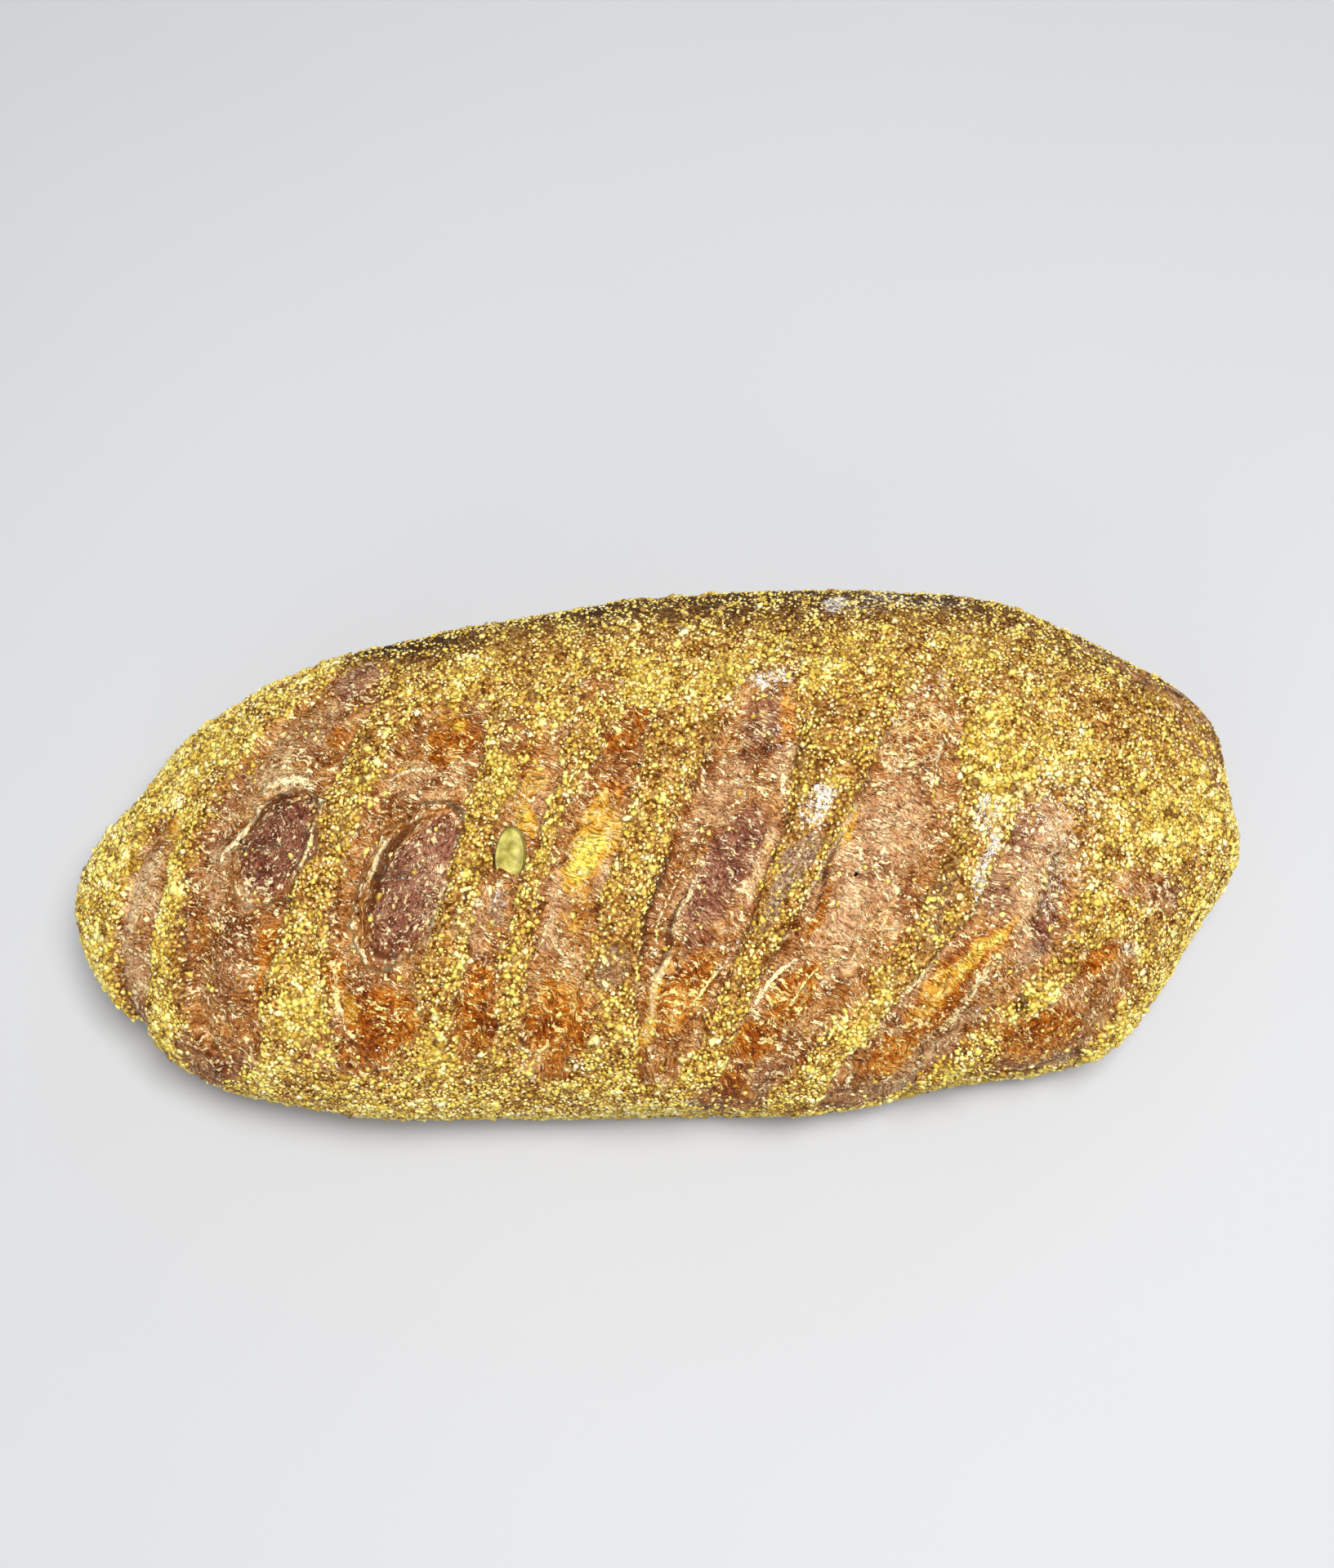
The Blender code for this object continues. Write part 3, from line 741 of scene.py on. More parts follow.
def map_crust(form):
    """What covers each point of the plain form, as shares, and the way the crust has stretched there."""
    true_x, true_y = crown_places(form)
    x = strayed(true_x, form, MARK_SWELLS, 21.0)
    y = strayed(true_y, form, MARK_SWELLS, 23.0)
    on_crown = ramp(form[:, 2], *MARKED_ABOVE)
    marks = {"toasted": TOASTED_AND_PAINTED_SHADOW, "amber": AMBER, "glazed": GLAZED, "fair": FAIR, "floured": FLOURED}
    marks.update({"dusty": DUSTY, "crazed": CRAZED})
    found = {name: on_crown * ovals(places, x, y) for name, places in marks.items()}
    found["dark"] = on_crown * ovals(DARK, strayed(x, form, DARK_SWELLS, 25.0), y, 0.3, 1.45)
    found["blister"] = on_crown * ovals(BLISTERS, true_x, true_y)
    found["pore"] = on_crown * ovals(PORES, true_x, true_y)
    found["lip"] = on_crown * lines(LIPS, true_x, true_y)
    found["groove"] = on_crown * lines(GROOVES, true_x, true_y)

    bare = np.maximum(in_scores(true_x, true_y), ovals(BARE, x, y, 0.7, 1.2))
    clumps = waves(form, CLUMP_SIZE, 31.0)
    bare = on_crown * ramp(bare + 0.42 * clumps, 0.24, 0.86)
    dense = ovals(DENSE, x, y, 0.4, 1.3) - ovals(SPARSE, x, y, 0.4, 1.3) - 0.7 * found["dark"]
    low = 1 - ramp(form[:, 2], *LOW_BELOW)
    found["dense"] = np.clip(0.36 + dense + 0.55 * waves(form, 7 * MM, 1.9), 0, 1)
    coated = np.clip(0.16 + 0.8 * found["dense"] + 0.6 * clumps - 0.2 * low, 0.04, 1.2)
    left = 1
    for name, share in MISSING_GRITS.items():
        left = left * (1 - share * found[name])
    found["grits"] = coated * left * (1 - bare) ** 1.3 + 0.004 * bare
    found["bare"] = bare
    found["low"] = low
    found["flow"] = stretch_lines(x, y)
    return found


def fine_relief(points, found):
    """Roughness under the grits, and wrinkles, blisters and pores on the bare crust."""
    rough = (0.2 + 0.5 * found["dense"]) * MM * waves(points, 2.4 * MM, 4.4)
    rough = rough + 0.12 * MM * waves(points, 1.3 * MM, 6.1)
    wrinkles = WRINKLE_HEIGHT * waves(points, 2.0 * MM, 11.5)
    dome = BLISTER_HEIGHT * np.sqrt(np.clip(found["blister"], 0, 1)) - PORE_DEPTH * found["pore"]
    return rough * (1 - found["bare"]) + wrinkles * found["bare"] + dome


def cut_sole():
    """Cut the active piece off flat where the loaf stood on the oven's floor."""
    bpy.ops.object.mode_set(mode="EDIT")
    bpy.ops.mesh.select_all(action="SELECT")
    bpy.ops.mesh.bisect(plane_co=(0, 0, 0), plane_no=(0, 0, -1), use_fill=True, clear_outer=True)
    bpy.ops.object.mode_set(mode="OBJECT")


def make_crust():
    crust = cube_net()
    crust.name = "crust"
    mesh = crust.data
    net = np.tan(read_points(mesh) * math.pi / 4)
    form = plain_form(net / np.linalg.norm(net, axis=1)[:, None])
    write_points(mesh, form)
    found = map_crust(form)
    push_out(mesh, shape_relief(form))
    push_out(mesh, fine_relief(form, found) * ramp(form[:, 2], *ROUGH_ABOVE))
    for name, values in found.items():
        write_attribute(mesh, name, values)
    cut_sole()
    deselect_everything()
    crust.select_set(True)
    bpy.context.view_layer.objects.active = crust
    bpy.ops.object.shade_smooth_by_angle(angle=math.radians(60))
    mesh.name = "crust"
    return crust


# ================================================================ grits
class Skin:
    """The crust's triangles, to scatter grits over."""

    def __init__(self, crust):
        mesh = crust.data
        mesh.calc_loop_triangles()
        corners = np.empty(len(mesh.loop_triangles) * 3, int)
        mesh.loop_triangles.foreach_get("vertices", corners)
        points, normals = read_points(mesh), read_points(mesh, "normal")
        corners = corners.reshape(-1, 3)
        corners = corners[points[corners][:, :, 2].min(axis=1) > LOWEST_GRIT]
        self.corners, self.points, self.normals = corners, points, normals
        a, b, c = (points[corners[:, k]] for k in range(3))
        self.areas = np.linalg.norm(np.cross(b - a, c - a), axis=1) / 2
        names = ("grits", "dense", "dusty", "floured", "low")
        self.shares = {name: read_attribute(mesh, name)[corners].mean(axis=1) for name in names}

    def scatter(self, rng, draws, weights, spacing):
        """Spots drawn by weight and area, with no two of them nearer than the spacing."""
        odds = self.areas * weights
        drawn = rng.choice(len(odds), size=draws, p=odds / odds.sum())
        share = rng.random((draws, 2))
        share = np.where(share.sum(axis=1)[:, None] > 1, 1 - share, share)
        parts = np.column_stack((1 - share.sum(axis=1), share))[:, :, None]
        spots = (self.points[self.corners[drawn]] * parts).sum(axis=1)
        normals = (self.normals[self.corners[drawn]] * parts).sum(axis=1)
        normals /= np.linalg.norm(normals, axis=1)[:, None]
        kept = spread_out(spots, spacing)
        return spots[kept], normals[kept], drawn[kept]


def spread_out(spots, spacing):
    """Which spots to keep: each one in turn, unless one before it is nearer than the spacing."""
    tree = kdtree.KDTree(len(spots))
    for index, spot in enumerate(spots):
        tree.insert(spot, index)
    tree.balance()
    free = [True] * len(spots)
    kept = []
    for index, spot in enumerate(spots):
        if free[index]:
            kept.append(index)
            for _, near, _ in tree.find_range(spot, spacing):
                free[near] = False
    return np.array(kept)


def chip_shapes(rng, corners):
    """Broken bits about one unit across: the hulls of a few points spread unevenly over a ball."""
    shapes, faces = [], []
    while len(shapes) < CHIP_SHAPES:
        points = rng.normal(size=(corners, 3))
        points /= np.linalg.norm(points, axis=1)[:, None]
        for _ in range(CORNER_PUSHES):  # push the points apart, so that no chip is a sliver
            apart = points[:, None] - points[None]
            gaps = np.linalg.norm(apart, axis=2) + np.eye(corners)
            points = points + CORNER_PUSH * (apart / gaps[:, :, None] ** 3).sum(axis=1)
            points /= np.linalg.norm(points, axis=1)[:, None]
        points *= 0.5 * rng.uniform(*CORNER_REACH, (corners, 1))
        bm = bmesh.new()
        for point in points:
            bm.verts.new(point)
        bmesh.ops.convex_hull(bm, input=bm.verts[:])
        bmesh.ops.recalc_face_normals(bm, faces=bm.faces[:])
        bm.verts.index_update()
        if len(bm.faces) == 2 * corners - 4:
            shapes.append([vert.co[:] for vert in bm.verts])
            faces.append([[vert.index for vert in face.verts] for face in bm.faces])
        bm.free()
    return np.array(shapes), np.array(faces)


def turned(rng, normals, tilt):
    """A frame for each chip: its third axis near the crust's normal, and any turn about it."""
    up = normals + rng.normal(0, tilt, normals.shape)
    up /= np.linalg.norm(up, axis=1)[:, None]
    side = np.cross(up, rng.normal(0, 1, normals.shape))
    side /= np.linalg.norm(side, axis=1)[:, None]
    return np.stack((side, np.cross(up, side), up), axis=2)


def lay_out_map(mesh, chips, faces_each):
    """A map with a square for each chip, cut into cells that hold two of its faces each."""
    layer = mesh.uv_layers.new(name="OFBake")
    rows = math.ceil(math.sqrt(chips))
    columns = math.ceil(math.sqrt(faces_each / 2))
    face = np.arange(chips * faces_each)
    chip, part = face // faces_each, face % faces_each
    square, upper = part // 2, part % 2
    near, far = 0.06, 0.86  # of a cell's side, so that the two faces stay apart
    half = np.array([[near, near], [far, near], [near, far]])
    corner = np.array([half, 1 - half])
    spot = np.column_stack((square % columns, square // columns))[:, None] + corner[upper]
    spot = (np.column_stack((chip % rows, chip // rows))[:, None] + spot / columns) / rows
    layer.data.foreach_set("uv", spot.astype(np.float32).ravel())


def mesh_from_chips(name, chips, faces, tones):
    """One object from many chips, with each chip's tone on its points."""
    count, points_each, _ = chips.shape
    corners = (faces + (np.arange(count) * points_each)[:, None, None]).reshape(-1)
    mesh = bpy.data.meshes.new(name)
    mesh.vertices.add(count * points_each)
    mesh.vertices.foreach_set("co", chips.astype(np.float32).ravel())
    mesh.loops.add(len(corners))
    mesh.loops.foreach_set("vertex_index", corners.astype(np.int32))
    mesh.polygons.add(len(corners) // 3)
    mesh.polygons.foreach_set("loop_start", np.arange(0, len(corners), 3, dtype=np.int32))
    mesh.update(calc_edges=True)
    write_attribute(mesh, "tone", np.repeat(tones, points_each))
    lay_out_map(mesh, count, faces.shape[1])
    made = bpy.data.objects.new(name, mesh)
    bpy.context.scene.collection.objects.link(made)
    return made


def strew(name, rng, laid, shape_set, flatness, tilt):
    """Lay chips on the spots, each of its own shape, stretch and turn."""
    shapes, faces = shape_set
    spots, normals, widths, tones = laid
    count = len(spots)
    shape = rng.integers(0, CHIP_SHAPES, count)
    wide = rng.uniform(*CHIP_STRETCH, (count, 2))
    stretch = np.column_stack((wide, rng.uniform(*flatness, count)))
    chips = shapes[shape] * (stretch * widths[:, None])[:, None, :]
    chips = np.einsum("nij,nvj->nvi", turned(rng, normals, tilt), chips)
    lift = widths * stretch[:, 2] * (0.5 - CHIP_SINK)
    chips = chips + (spots + normals * lift[:, None])[:, None, :]
    chips[:, :, 2] = np.maximum(chips[:, :, 2], FLOOR_GAP)
    return mesh_from_chips(name, chips, faces[shape], tones)


def make_grits(crust):
    """Coarse grits of four tints over the coated strips, and finer meal between and on them."""
    rng = np.random.default_rng(RANDOM_SEED)
    skin = Skin(crust)
    chips = chip_shapes(rng, GRIT_CORNERS)
    share = skin.shares
    spots, normals, where = skin.scatter(rng, GRIT_DRAWS, share["grits"], GRIT_SPACING)
    dense, dusty, white, low = (share[name][where] for name in ("dense", "dusty", "floured", "low"))

    # yellow grits gather in some spots and toasted ones in others, and the more so where they lie dense; low
    # on the flanks they lean to toasted and darker tones, as painted shade towards the floor
    broad = waves(spots, 5 * MM, 41.0) + (0.3 + 0.9 * dense) * waves(spots, 2.4 * MM, 4.4) - 0.5 * low
    widths = GRIT_WIDTH * np.exp(rng.normal(0, 0.26 + 0.10 * dense)) * (0.80 + 0.34 * dense)
    widths = np.clip(widths, *GRIT_WIDTHS)
    golden, toasted = 0.28 - 0.02 * dense, 0.18 - 0.12 * dense + 0.5 * dusty
    leaning = (0.34 + 0.3 * dense, 0.18 - 0.08 * dense + 0.2 * dusty + 3 * white, golden, toasted)
    steps = np.cumsum(leaning, axis=0) / np.sum(leaning, axis=0)
    kind = (rng.random(len(spots)) - 0.3 * broad > steps[:3]).sum(axis=0)
    tones = np.clip(rng.random(len(spots)) * 0.6 + 0.2 + 0.4 * broad, 0, 1)

    pieces = {}
    for index, name in enumerate(("grits_yellow", "grits_cream", "grits_golden", "grits_toasted")):
        here = np.flatnonzero(kind == index)
        laid = (spots[here], normals[here], widths[here], tones[here])
        pieces[name] = strew(name, rng, laid, chips, GRIT_FLATNESS, GRIT_TILT)
    weights = 0.03 + 0.7 * share["grits"]
    spots, normals, _ = skin.scatter(rng, MEAL_DRAWS, weights, MEAL_SPACING)
    laid = (spots, normals, rng.uniform(*MEAL_WIDTHS, len(spots)), rng.random(len(spots)))
    pieces["meal"] = strew("meal", rng, laid, chip_shapes(rng, MEAL_CORNERS), MEAL_FLATNESS, MEAL_TILT)
    return pieces


# ================================================================ pumpkin seed
def make_pumpkin_seed(crust):
    """A hulled seed, flat and drop-shaped, with a ridge round its rim, pressed into the crust."""
    _, spot, normal, _ = crust.ray_cast(Vector((*SEED_PLACE, 2 * HEIGHT)), Vector((0, 0, -1)))
    deselect_everything()
    bpy.ops.mesh.primitive_uv_sphere_add(segments=48, ring_count=24, radius=0.5)
    seed = bpy.context.active_object
    seed.name = seed.data.name = "pumpkin_seed"
    points = read_points(seed.data)
    x, y, z = points.T
    narrow = 1 - 0.4 * ramp(x, 0.1, 0.5)
    ridge = 1 + 0.5 * bump(np.hypot(x, y), 0.44, 0.04)
    wrinkle = 1 + 0.05 * np.sin(9 * y + 3 * x) * np.cos(7 * x)
    plump = np.sign(z) * np.abs(2 * z) ** 0.7 / 2
    thick = plump * ridge * wrinkle * SEED_THICKNESS
    shaped = np.column_stack((x * SEED_LENGTH, y * narrow * SEED_WIDTH, thick))
    heading = Vector((math.cos(SEED_HEADING), math.sin(SEED_HEADING), 0))
    across = normal.cross(heading).normalized()
    dip = Matrix.Rotation(SEED_DIP, 3, "Y")
    stand = np.array(Matrix((across.cross(normal), across, normal)).transposed() @ dip)
    write_points(seed.data, shaped @ stand.T + np.array(spot - normal * SEED_SINK))
    write_attribute(seed.data, "point_end", ramp(x, 0.24, 0.4))
    write_attribute(seed.data, "rim", ramp(np.hypot(x, y), 0.40, 0.48))
    bpy.ops.object.shade_smooth()
    return seed


# ================================================================ finishes
def tint(red, green, blue):
    """A linear colour from one as a picture shows it, 0 to 255."""
    return tuple((value / 255) ** 2.2 for value in (red, green, blue)) + (1.0,)


def tints(*stops):
    """A band's stops from a place and a colour each."""
    return [(place, tint(*colour)) for place, *colour in stops]


class Wire:
    """One value in a finish, which takes part in sums as a number does."""

    def __init__(self, finish, socket):
        self.finish = finish
        self.socket = socket

    def _sum(self, operation, first, second):
        return self.finish.node("ShaderNodeMath", {"operation": operation}, {0: first, 1: second})

    def __add__(self, other):
        return self._sum("ADD", self, other)

    def __radd__(self, other):
        return self._sum("ADD", other, self)

    def __sub__(self, other):
        return self._sum("SUBTRACT", self, other)

    def __rsub__(self, other):
        return self._sum("SUBTRACT", other, self)

    def __mul__(self, other):
        return self._sum("MULTIPLY", self, other)

    def __rmul__(self, other):
        return self._sum("MULTIPLY", other, self)


class Finish:
    """A material that is built up from wires."""

    def __init__(self, name):
        self.material = bpy.data.materials.new(name)
        self.material.use_nodes = True
        self.tree = self.material.node_tree
        self.shader = self.tree.nodes["Principled BSDF"]
        self.place = self.node("ShaderNodeTexCoord", {}, {}, "Object")

    def node(self, kind, settings, values, output=0):
        """A node of any kind: its settings first, then what goes into its sockets."""
        made = self.tree.nodes.new(kind)
        for name, value in settings.items():
            if name == "stops":
                self.set_stops(made.color_ramp, value)
            else:
                setattr(made, name, value)
        for name, value in values.items():
            self.feed(made.inputs[name], value)
        return Wire(self, made.outputs[output])

    def set_stops(self, band, stops):
        while len(band.elements) < len(stops):
            band.elements.new(0.5)
        for element, (place, colour) in zip(band.elements, stops):
            element.position = place
            element.color = colour

    def feed(self, socket, value):
        if isinstance(value, Wire):
            self.tree.links.new(value.socket, socket)
        else:
            socket.default_value = value

    def share(self, name):
        """A share that the piece's points carry."""
        return self.node("ShaderNodeAttribute", {"attribute_name": name}, {}, "Fac")

    def step(self, value, low, high):
        values = {"Value": value, "From Min": low, "From Max": high}
        return self.node("ShaderNodeMapRange", {"interpolation_type": "SMOOTHSTEP"}, values)

    def most(self, first, second):
        return self.node("ShaderNodeMath", {"operation": "MAXIMUM"}, {0: first, 1: second})

    def ragged(self, share, noise, amount, low, high):
        """A step over a share whose edge is made ragged by so much of a noise."""
        return self.step(share + (noise - 0.5) * amount, low, high)

    def cloud(self, size, detail=2.0, roughness=0.5, place=None):
        """Noise with swells of a size in metres, 0 to 1."""
        values = {"Vector": place or self.place, "Scale": 1 / size, "Detail": detail, "Roughness": roughness}
        return self.node("ShaderNodeTexNoise", {}, values)

    def cell_edges(self, size, place):
        """How far places lie from the edges of cells of a size in metres."""
        values = {"Vector": place, "Scale": 1 / size}
        return self.node("ShaderNodeTexVoronoi", {"feature": "DISTANCE_TO_EDGE"}, values, "Distance")

    def shift(self, operation, values):
        return self.node("ShaderNodeVectorMath", {"operation": operation}, values)

    def bend(self, size, amount, place=None):
        """Places shifted about by noise, so that patterns don't look ruled."""
        drift = self.node("ShaderNodeTexNoise", {}, {"Vector": self.place, "Scale": 1 / size}, "Color")
        drift = self.shift("SUBTRACT", {0: drift, 1: (0.5, 0.5, 0.5)})
        drift = self.shift("SCALE", {0: drift, "Scale": amount})
        return self.shift("ADD", {0: place or self.place, 1: drift})

    def dashes(self, flow, length, width, cover):
        """Short torn flecks along the crust's stretch, in millimetres: 1 on a fleck. They are as wide as
        there is cover, and there are none where it is under 0."""
        place = self.bend(0.9 * MM, 1.5, self.stretched(flow, 1 / length, 1 / width))
        gap = self.node("ShaderNodeTexVoronoi", {}, {"Vector": place, "Scale": 1.0}, "Distance")
        return 1 - self.step(gap - cover, 0.0, 0.14)

    def stretched(self, flow, along, across):
        """Places in millimetres along and across the crust's stretch, as so many swells a millimetre."""
        return self.node("ShaderNodeMapping", {}, {"Vector": flow, "Scale": (along, across, 1.0)})

    def mix(self, share, first, second):
        """From the first colour at 0 to the second at 1."""
        settings = {"data_type": "RGBA", "clamp_factor": True}
        return self.node("ShaderNodeMix", settings, {0: share, 6: first, 7: second}, 2)

    def band(self, value, stops):
        """Colours along a value."""
        return self.node("ShaderNodeValToRGB", {"stops": stops}, {"Fac": value}, "Color")

    def finish(self, colour, roughness, height=None, relief=0.0, shine=0.08):
        self.feed(self.shader.inputs["Base Color"], colour)
        self.feed(self.shader.inputs["Roughness"], roughness)
        self.shader.inputs["Specular IOR Level"].default_value = shine
        if height is not None:
            values = {"Height": height, "Distance": relief, "Strength": 1.0}
            self.feed(self.shader.inputs["Normal"], self.node("ShaderNodeBump", {}, values, "Normal"))
        return self.material


# Crust colours: a place along the tone, 0 to 1, and the colour there, 0 to 255
BROWN_CRUST = tints(
    (0.34, 80, 38, 12),
    (0.45, 132, 78, 34),
    (0.54, 168, 112, 58),
    (0.63, 202, 154, 98),
    (0.7, 234, 202, 146),
)
TOASTED_CRUST = tints((0.34, 62, 28, 18), (0.46, 106, 60, 42), (0.56, 140, 90, 68), (0.68, 180, 134, 102))
AMBER_CRUST = tints((0.34, 86, 32, 2), (0.46, 138, 68, 8), (0.56, 178, 106, 28), (0.66, 222, 166, 84))
GOLDEN_CRUST = tints((0.34, 146, 84, 14), (0.46, 190, 130, 36), (0.56, 216, 166, 66), (0.66, 238, 208, 126))
GLAZED_CRUST = tints((0.34, 172, 124, 22), (0.48, 222, 190, 68), (0.62, 246, 232, 130))
FAIR_CRUST = tints((0.34, 152, 102, 68), (0.46, 190, 142, 100), (0.56, 214, 172, 126), (0.66, 238, 212, 166))
COATED_CRUST = tints((0.34, 84, 48, 14), (0.46, 130, 82, 32), (0.56, 176, 126, 60), (0.68, 218, 180, 108))
DENSE_CRUST = tints((0.34, 112, 74, 24), (0.46, 162, 120, 44), (0.56, 206, 168, 72), (0.68, 236, 210, 116))
DUSTY_CRUST = tints((0.36, 88, 60, 46), (0.5, 140, 108, 84), (0.64, 206, 186, 156))


def crust_finish():
    """Baked crust: brown, fair, toasted, amber or glazed where it is bare, under pale flecks and cracks,
    with painted shade along its grooves and in its pores. Between the grits it is mealy, or scorched, and
    painted darker as shade along the far flank and low down towards the floor."""
    f = Finish("baked crust")
    bare, toasted, amber, glazed, fair = map(f.share, ("bare", "toasted", "amber", "glazed", "fair"))
    floured, dusty, dark, low, dense = map(f.share, ("floured", "dusty", "dark", "low", "dense"))
    lip, groove, crazed, pore = map(f.share, ("lip", "groove", "crazed", "pore"))
    flow = f.node("ShaderNodeAttribute", {"attribute_name": "flow"}, {}, "Vector")
    patch = f.cloud(3.4 * MM, 4, 0.62)
    broad = f.cloud(11 * MM, 2)
    grain = f.cloud(0.55 * MM, 3, 0.7)
    bent = f.bend(3 * MM, 2.6 * MM)

    fine = f.cloud(1.0, 4, 0.75, f.stretched(flow, 1.1, 1.9))
    tone = patch * 0.3 + broad * 0.2 + fine * 0.5
    tone = tone * 1.7 - 0.35
    colour = f.band(tone, BROWN_CRUST)
    colour = f.mix(f.ragged(fair, patch, 1.0, 0.05, 1.1), colour, f.band(tone, FAIR_CRUST))
    # toasted crust, and at one oval a painted shadow along a groove
    on_toasted = f.ragged(toasted, patch, 0.3, 0.18, 0.85)
    colour = f.mix(on_toasted, colour, f.band(tone, TOASTED_CRUST))
    on_amber = f.ragged(amber, patch, 0.8, 0.30, 0.85)
    colour = f.mix(on_amber, colour, f.band(tone, AMBER_CRUST))
    colour = f.mix(f.ragged(glazed, patch, 0.7, 0.2, 0.55), colour, f.band(tone, GOLDEN_CRUST))
    colour = f.mix(f.ragged(glazed, patch, 0.7, 0.55, 0.95), colour, f.band(tone, GLAZED_CRUST))

    # fine dark wrinkles and pits, then pale torn flecks, cracks and lips over them, and painted shade along
    # the grooves
    wrinkles = f.step(f.cloud(1.0, 4, 0.65, f.stretched(flow, 0.6, 2.0)), 0.46, 0.38)
    pits = f.step(grain, 0.44, 0.36)
    colour = f.mix(f.most(wrinkles * 0.6, pits * 0.6), colour, tint(76, 34, 12))
    cover = (f.cloud(4 * MM, 3) - 0.5) * 0.7 + (f.cloud(1.4 * MM, 2) - 0.5) * 1.1
    cover = cover + on_toasted * 0.02 + crazed * 0.08 + fair * 0.05
    flecks = f.dashes(flow, 3.2, 0.85, cover + 0.18)
    specks = f.dashes(flow, 1.1, 0.55, cover * 0.8 + 0.18)
    veins = f.ragged(f.cell_edges(1.9 * MM, bent), grain, 0.35, 0.0, 0.12)
    cracks = (1 - veins) * f.ragged(crazed, patch, 1.2, 0.35, 0.8)
    torn = f.ragged(lip * 1.15, f.cloud(1.1 * MM, 3, 0.65, bent), 2.0, 0.65, 0.9)
    pale = f.most(f.most(flecks * 0.95, specks * 0.7), f.most(cracks * 0.6, torn)) * (1 - glazed * 0.7)
    pale_tint = f.mix(f.step(grain, 0.4, 0.6), tint(230, 190, 126), tint(255, 242, 196))
    pale_tint = f.mix(on_amber * 0.6, pale_tint, tint(248, 212, 112))
    colour = f.mix(pale * (1 - on_toasted * 0.2), colour, pale_tint)
    # painted shade: the grooves' creases are coloured dark brown
    colour = f.mix(f.ragged(groove, grain, 0.5, 0.25, 0.8) * 0.8, colour, tint(82, 42, 18))

    # the crust between the grits, then dust and flour over both
    under_tone = f.cloud(0.9 * MM, 3, 0.6) + (patch - 0.5) * 0.5
    under = f.band(under_tone, COATED_CRUST)
    under = f.mix(f.step(dense, 0.35, 0.9), under, f.band(under_tone, DENSE_CRUST))
    # painted shade: the crust between the grits is darker low down towards the floor
    under = f.mix(low * 0.45, under, tint(84, 50, 24))
    # dark crust between the grits: scorched, and along the far rim also painted shade on the far flank
    under = f.mix(dark * 0.95, under, tint(46, 26, 15))
    colour = f.mix(f.ragged(bare, grain, 0.5, 0.25, 0.75), under, colour)
    dust = f.band(f.cloud(0.7 * MM, 3, 0.7), DUSTY_CRUST)
    colour = f.mix(f.ragged(dusty, grain, 1.2, 0.3, 0.8) * 0.8, colour, dust)
    dusting = f.ragged(floured * 0.55, f.cloud(1.2 * MM, 4, 0.8), 3.0, 0.36, 0.62)
    colour = f.mix(dusting * 0.88, colour, tint(240, 236, 226))
    # painted shade: the pores are coloured near black
    colour = f.mix(f.step(pore, 0.2, 0.6), colour, tint(26, 14, 8))

    gloss = 0.42 + grain * 0.2 + (1 - bare) * 0.2 + dusting * 0.2
    height = pale * 0.7 + grain * 0.4 - wrinkles * 0.5 + f.cloud(1.6 * MM, 3) * 0.8
    return f.finish(colour, gloss, height, 0.36 * MM)


GRIT_TINTS = {
    "grits_yellow": tints((0.0, 200, 168, 60), (0.5, 228, 208, 104), (1.0, 245, 233, 160)),
    "grits_cream": tints((0.0, 204, 178, 108), (0.5, 230, 212, 148), (1.0, 246, 236, 192)),
    "grits_golden": tints((0.0, 168, 128, 44), (0.5, 206, 172, 72), (1.0, 232, 208, 112)),
    "grits_toasted": tints((0.0, 116, 78, 34), (0.5, 164, 124, 64), (1.0, 204, 168, 106)),
    "meal": tints((0.0, 168, 128, 66), (0.5, 218, 188, 118), (1.0, 244, 228, 176)),
}


def grit_finish(name):
    """Broken corn kernels: each grit has its own tone, mottled from its floury to its glassy part."""
    f = Finish(name.replace("_", " "))
    mottle = f.cloud(0.5 * MM, 3, 0.6)
    colour = f.band(f.share("tone") + (mottle - 0.5) * 0.5, GRIT_TINTS[name])
    colour = f.mix(f.step(f.cloud(0.25 * MM, 2), 0.55, 0.7) * 0.2, colour, tint(255, 244, 190))
    return f.finish(colour, 0.45 + mottle * 0.2, mottle, 0.06 * MM)


def seed_finish():
    """A hulled pumpkin seed: waxy pale green, with a pale dry point."""
    f = Finish("pumpkin seed")
    streaks = f.cloud(2.5 * MM, 3)
    colour = f.mix(f.step(streaks, 0.3, 0.7), tint(134, 122, 46), tint(204, 194, 104))
    colour = f.mix(f.step(f.cloud(0.8 * MM, 3), 0.5, 0.75) * 0.4, colour, tint(120, 106, 42))
    colour = f.mix(f.share("rim") * 0.8, colour, tint(104, 90, 34))
    colour = f.mix(f.share("point_end"), colour, tint(142, 140, 122))
    return f.finish(colour, 0.36 + streaks * 0.1, streaks, 0.15 * MM, 0.4)


def floor_finish():
    f = Finish("pale floor")
    return f.finish(f.mix(f.cloud(90 * MM, 2) * 0.3, tint(190, 191, 193), tint(182, 183, 186)), 0.85)


# ================================================================ picture
def make_floor():
    deselect_everything()
    bpy.ops.mesh.primitive_plane_add(size=FLOOR_SIDE)
    floor = bpy.context.active_object
    floor.name = "floor"
    floor.data.materials.append(floor_finish())


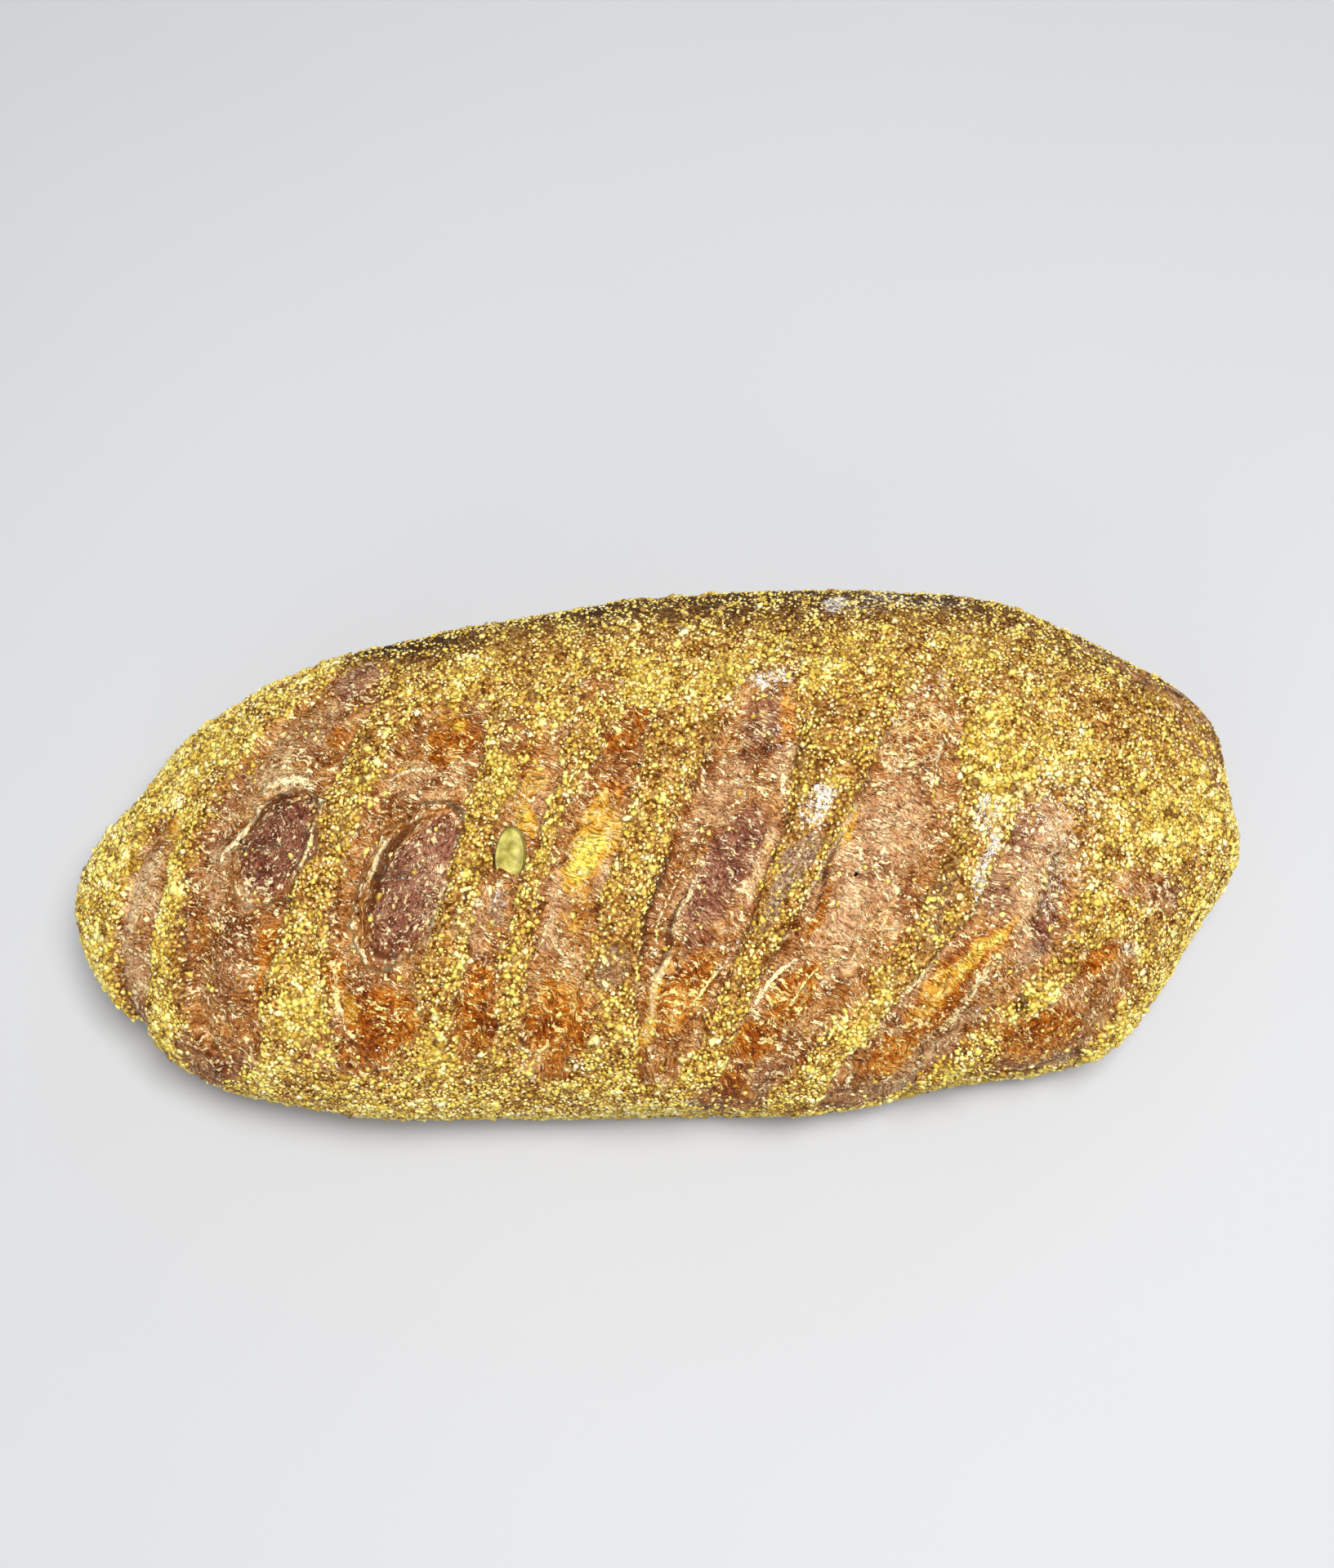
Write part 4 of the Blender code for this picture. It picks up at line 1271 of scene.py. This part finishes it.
def make_camera():
    """A camera that sees AIM_POINT where the photograph shows it, with no shift of its lens."""
    ahead = Vector((0, math.cos(CAMERA_HEIGHT_ANGLE), -math.sin(CAMERA_HEIGHT_ANGLE)))
    right = Vector((1, 0, 0))
    up = right.cross(ahead)
    metres_a_pixel = CAMERA_DISTANCE / FOCAL_PIXELS
    sideways = right * ((PHOTO_WIDTH / 2 - LOAF_PIXEL[0]) * metres_a_pixel)
    upwards = up * ((LOAF_PIXEL[1] - PHOTO_HEIGHT / 2) * metres_a_pixel)
    place = Vector(AIM_POINT) - ahead * CAMERA_DISTANCE + sideways + upwards
    camera = bpy.data.objects.new("camera", bpy.data.cameras.new("camera"))
    camera.data.sensor_fit = "HORIZONTAL"
    camera.data.sensor_width = SENSOR_WIDTH
    camera.data.lens = SENSOR_WIDTH * FOCAL_PIXELS / PHOTO_WIDTH
    camera.data.clip_start = NEAREST_SEEN
    camera.matrix_world = Matrix.Translation(place) @ Matrix((right, up, -ahead)).transposed().to_4x4()
    bpy.context.scene.collection.objects.link(camera)
    bpy.context.scene.camera = camera


def light_the_loaf():
    """Square soft lights turned to the loaf, and a white world."""
    for light in LIGHTS:
        lamp = bpy.data.lights.new(light.name, "AREA")
        lamp.size = light.side
        lamp.energy = light.watts
        made = bpy.data.objects.new(light.name, lamp)
        made.location = light.place
        ahead = Vector(LIT_POINT) - Vector(light.place)
        made.rotation_euler = ahead.to_track_quat("-Z", "Y").to_euler()
        bpy.context.scene.collection.objects.link(made)
    world = bpy.data.worlds.new("studio")
    world.use_nodes = True
    background = world.node_tree.nodes["Background"]
    background.inputs["Color"].default_value = (1.0, 1.0, 1.0, 1.0)
    background.inputs["Strength"].default_value = WORLD_STRENGTH
    bpy.context.scene.world = world
    bpy.context.scene.view_settings.view_transform = "Standard"


# ================================================================ all together
def put_on(piece, material):
    """Give a finished piece its material and its body."""
    piece.data.materials.clear()
    piece.data.materials.append(material)
    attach(piece, "root")


def main():
    make_camera()
    crust = make_crust()
    put_on(crust, crust_finish())
    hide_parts("loaf")
    for name, piece in make_grits(crust).items():
        put_on(piece, grit_finish(name))
    put_on(make_pumpkin_seed(crust), seed_finish())
    make_floor()
    light_the_loaf()


main()
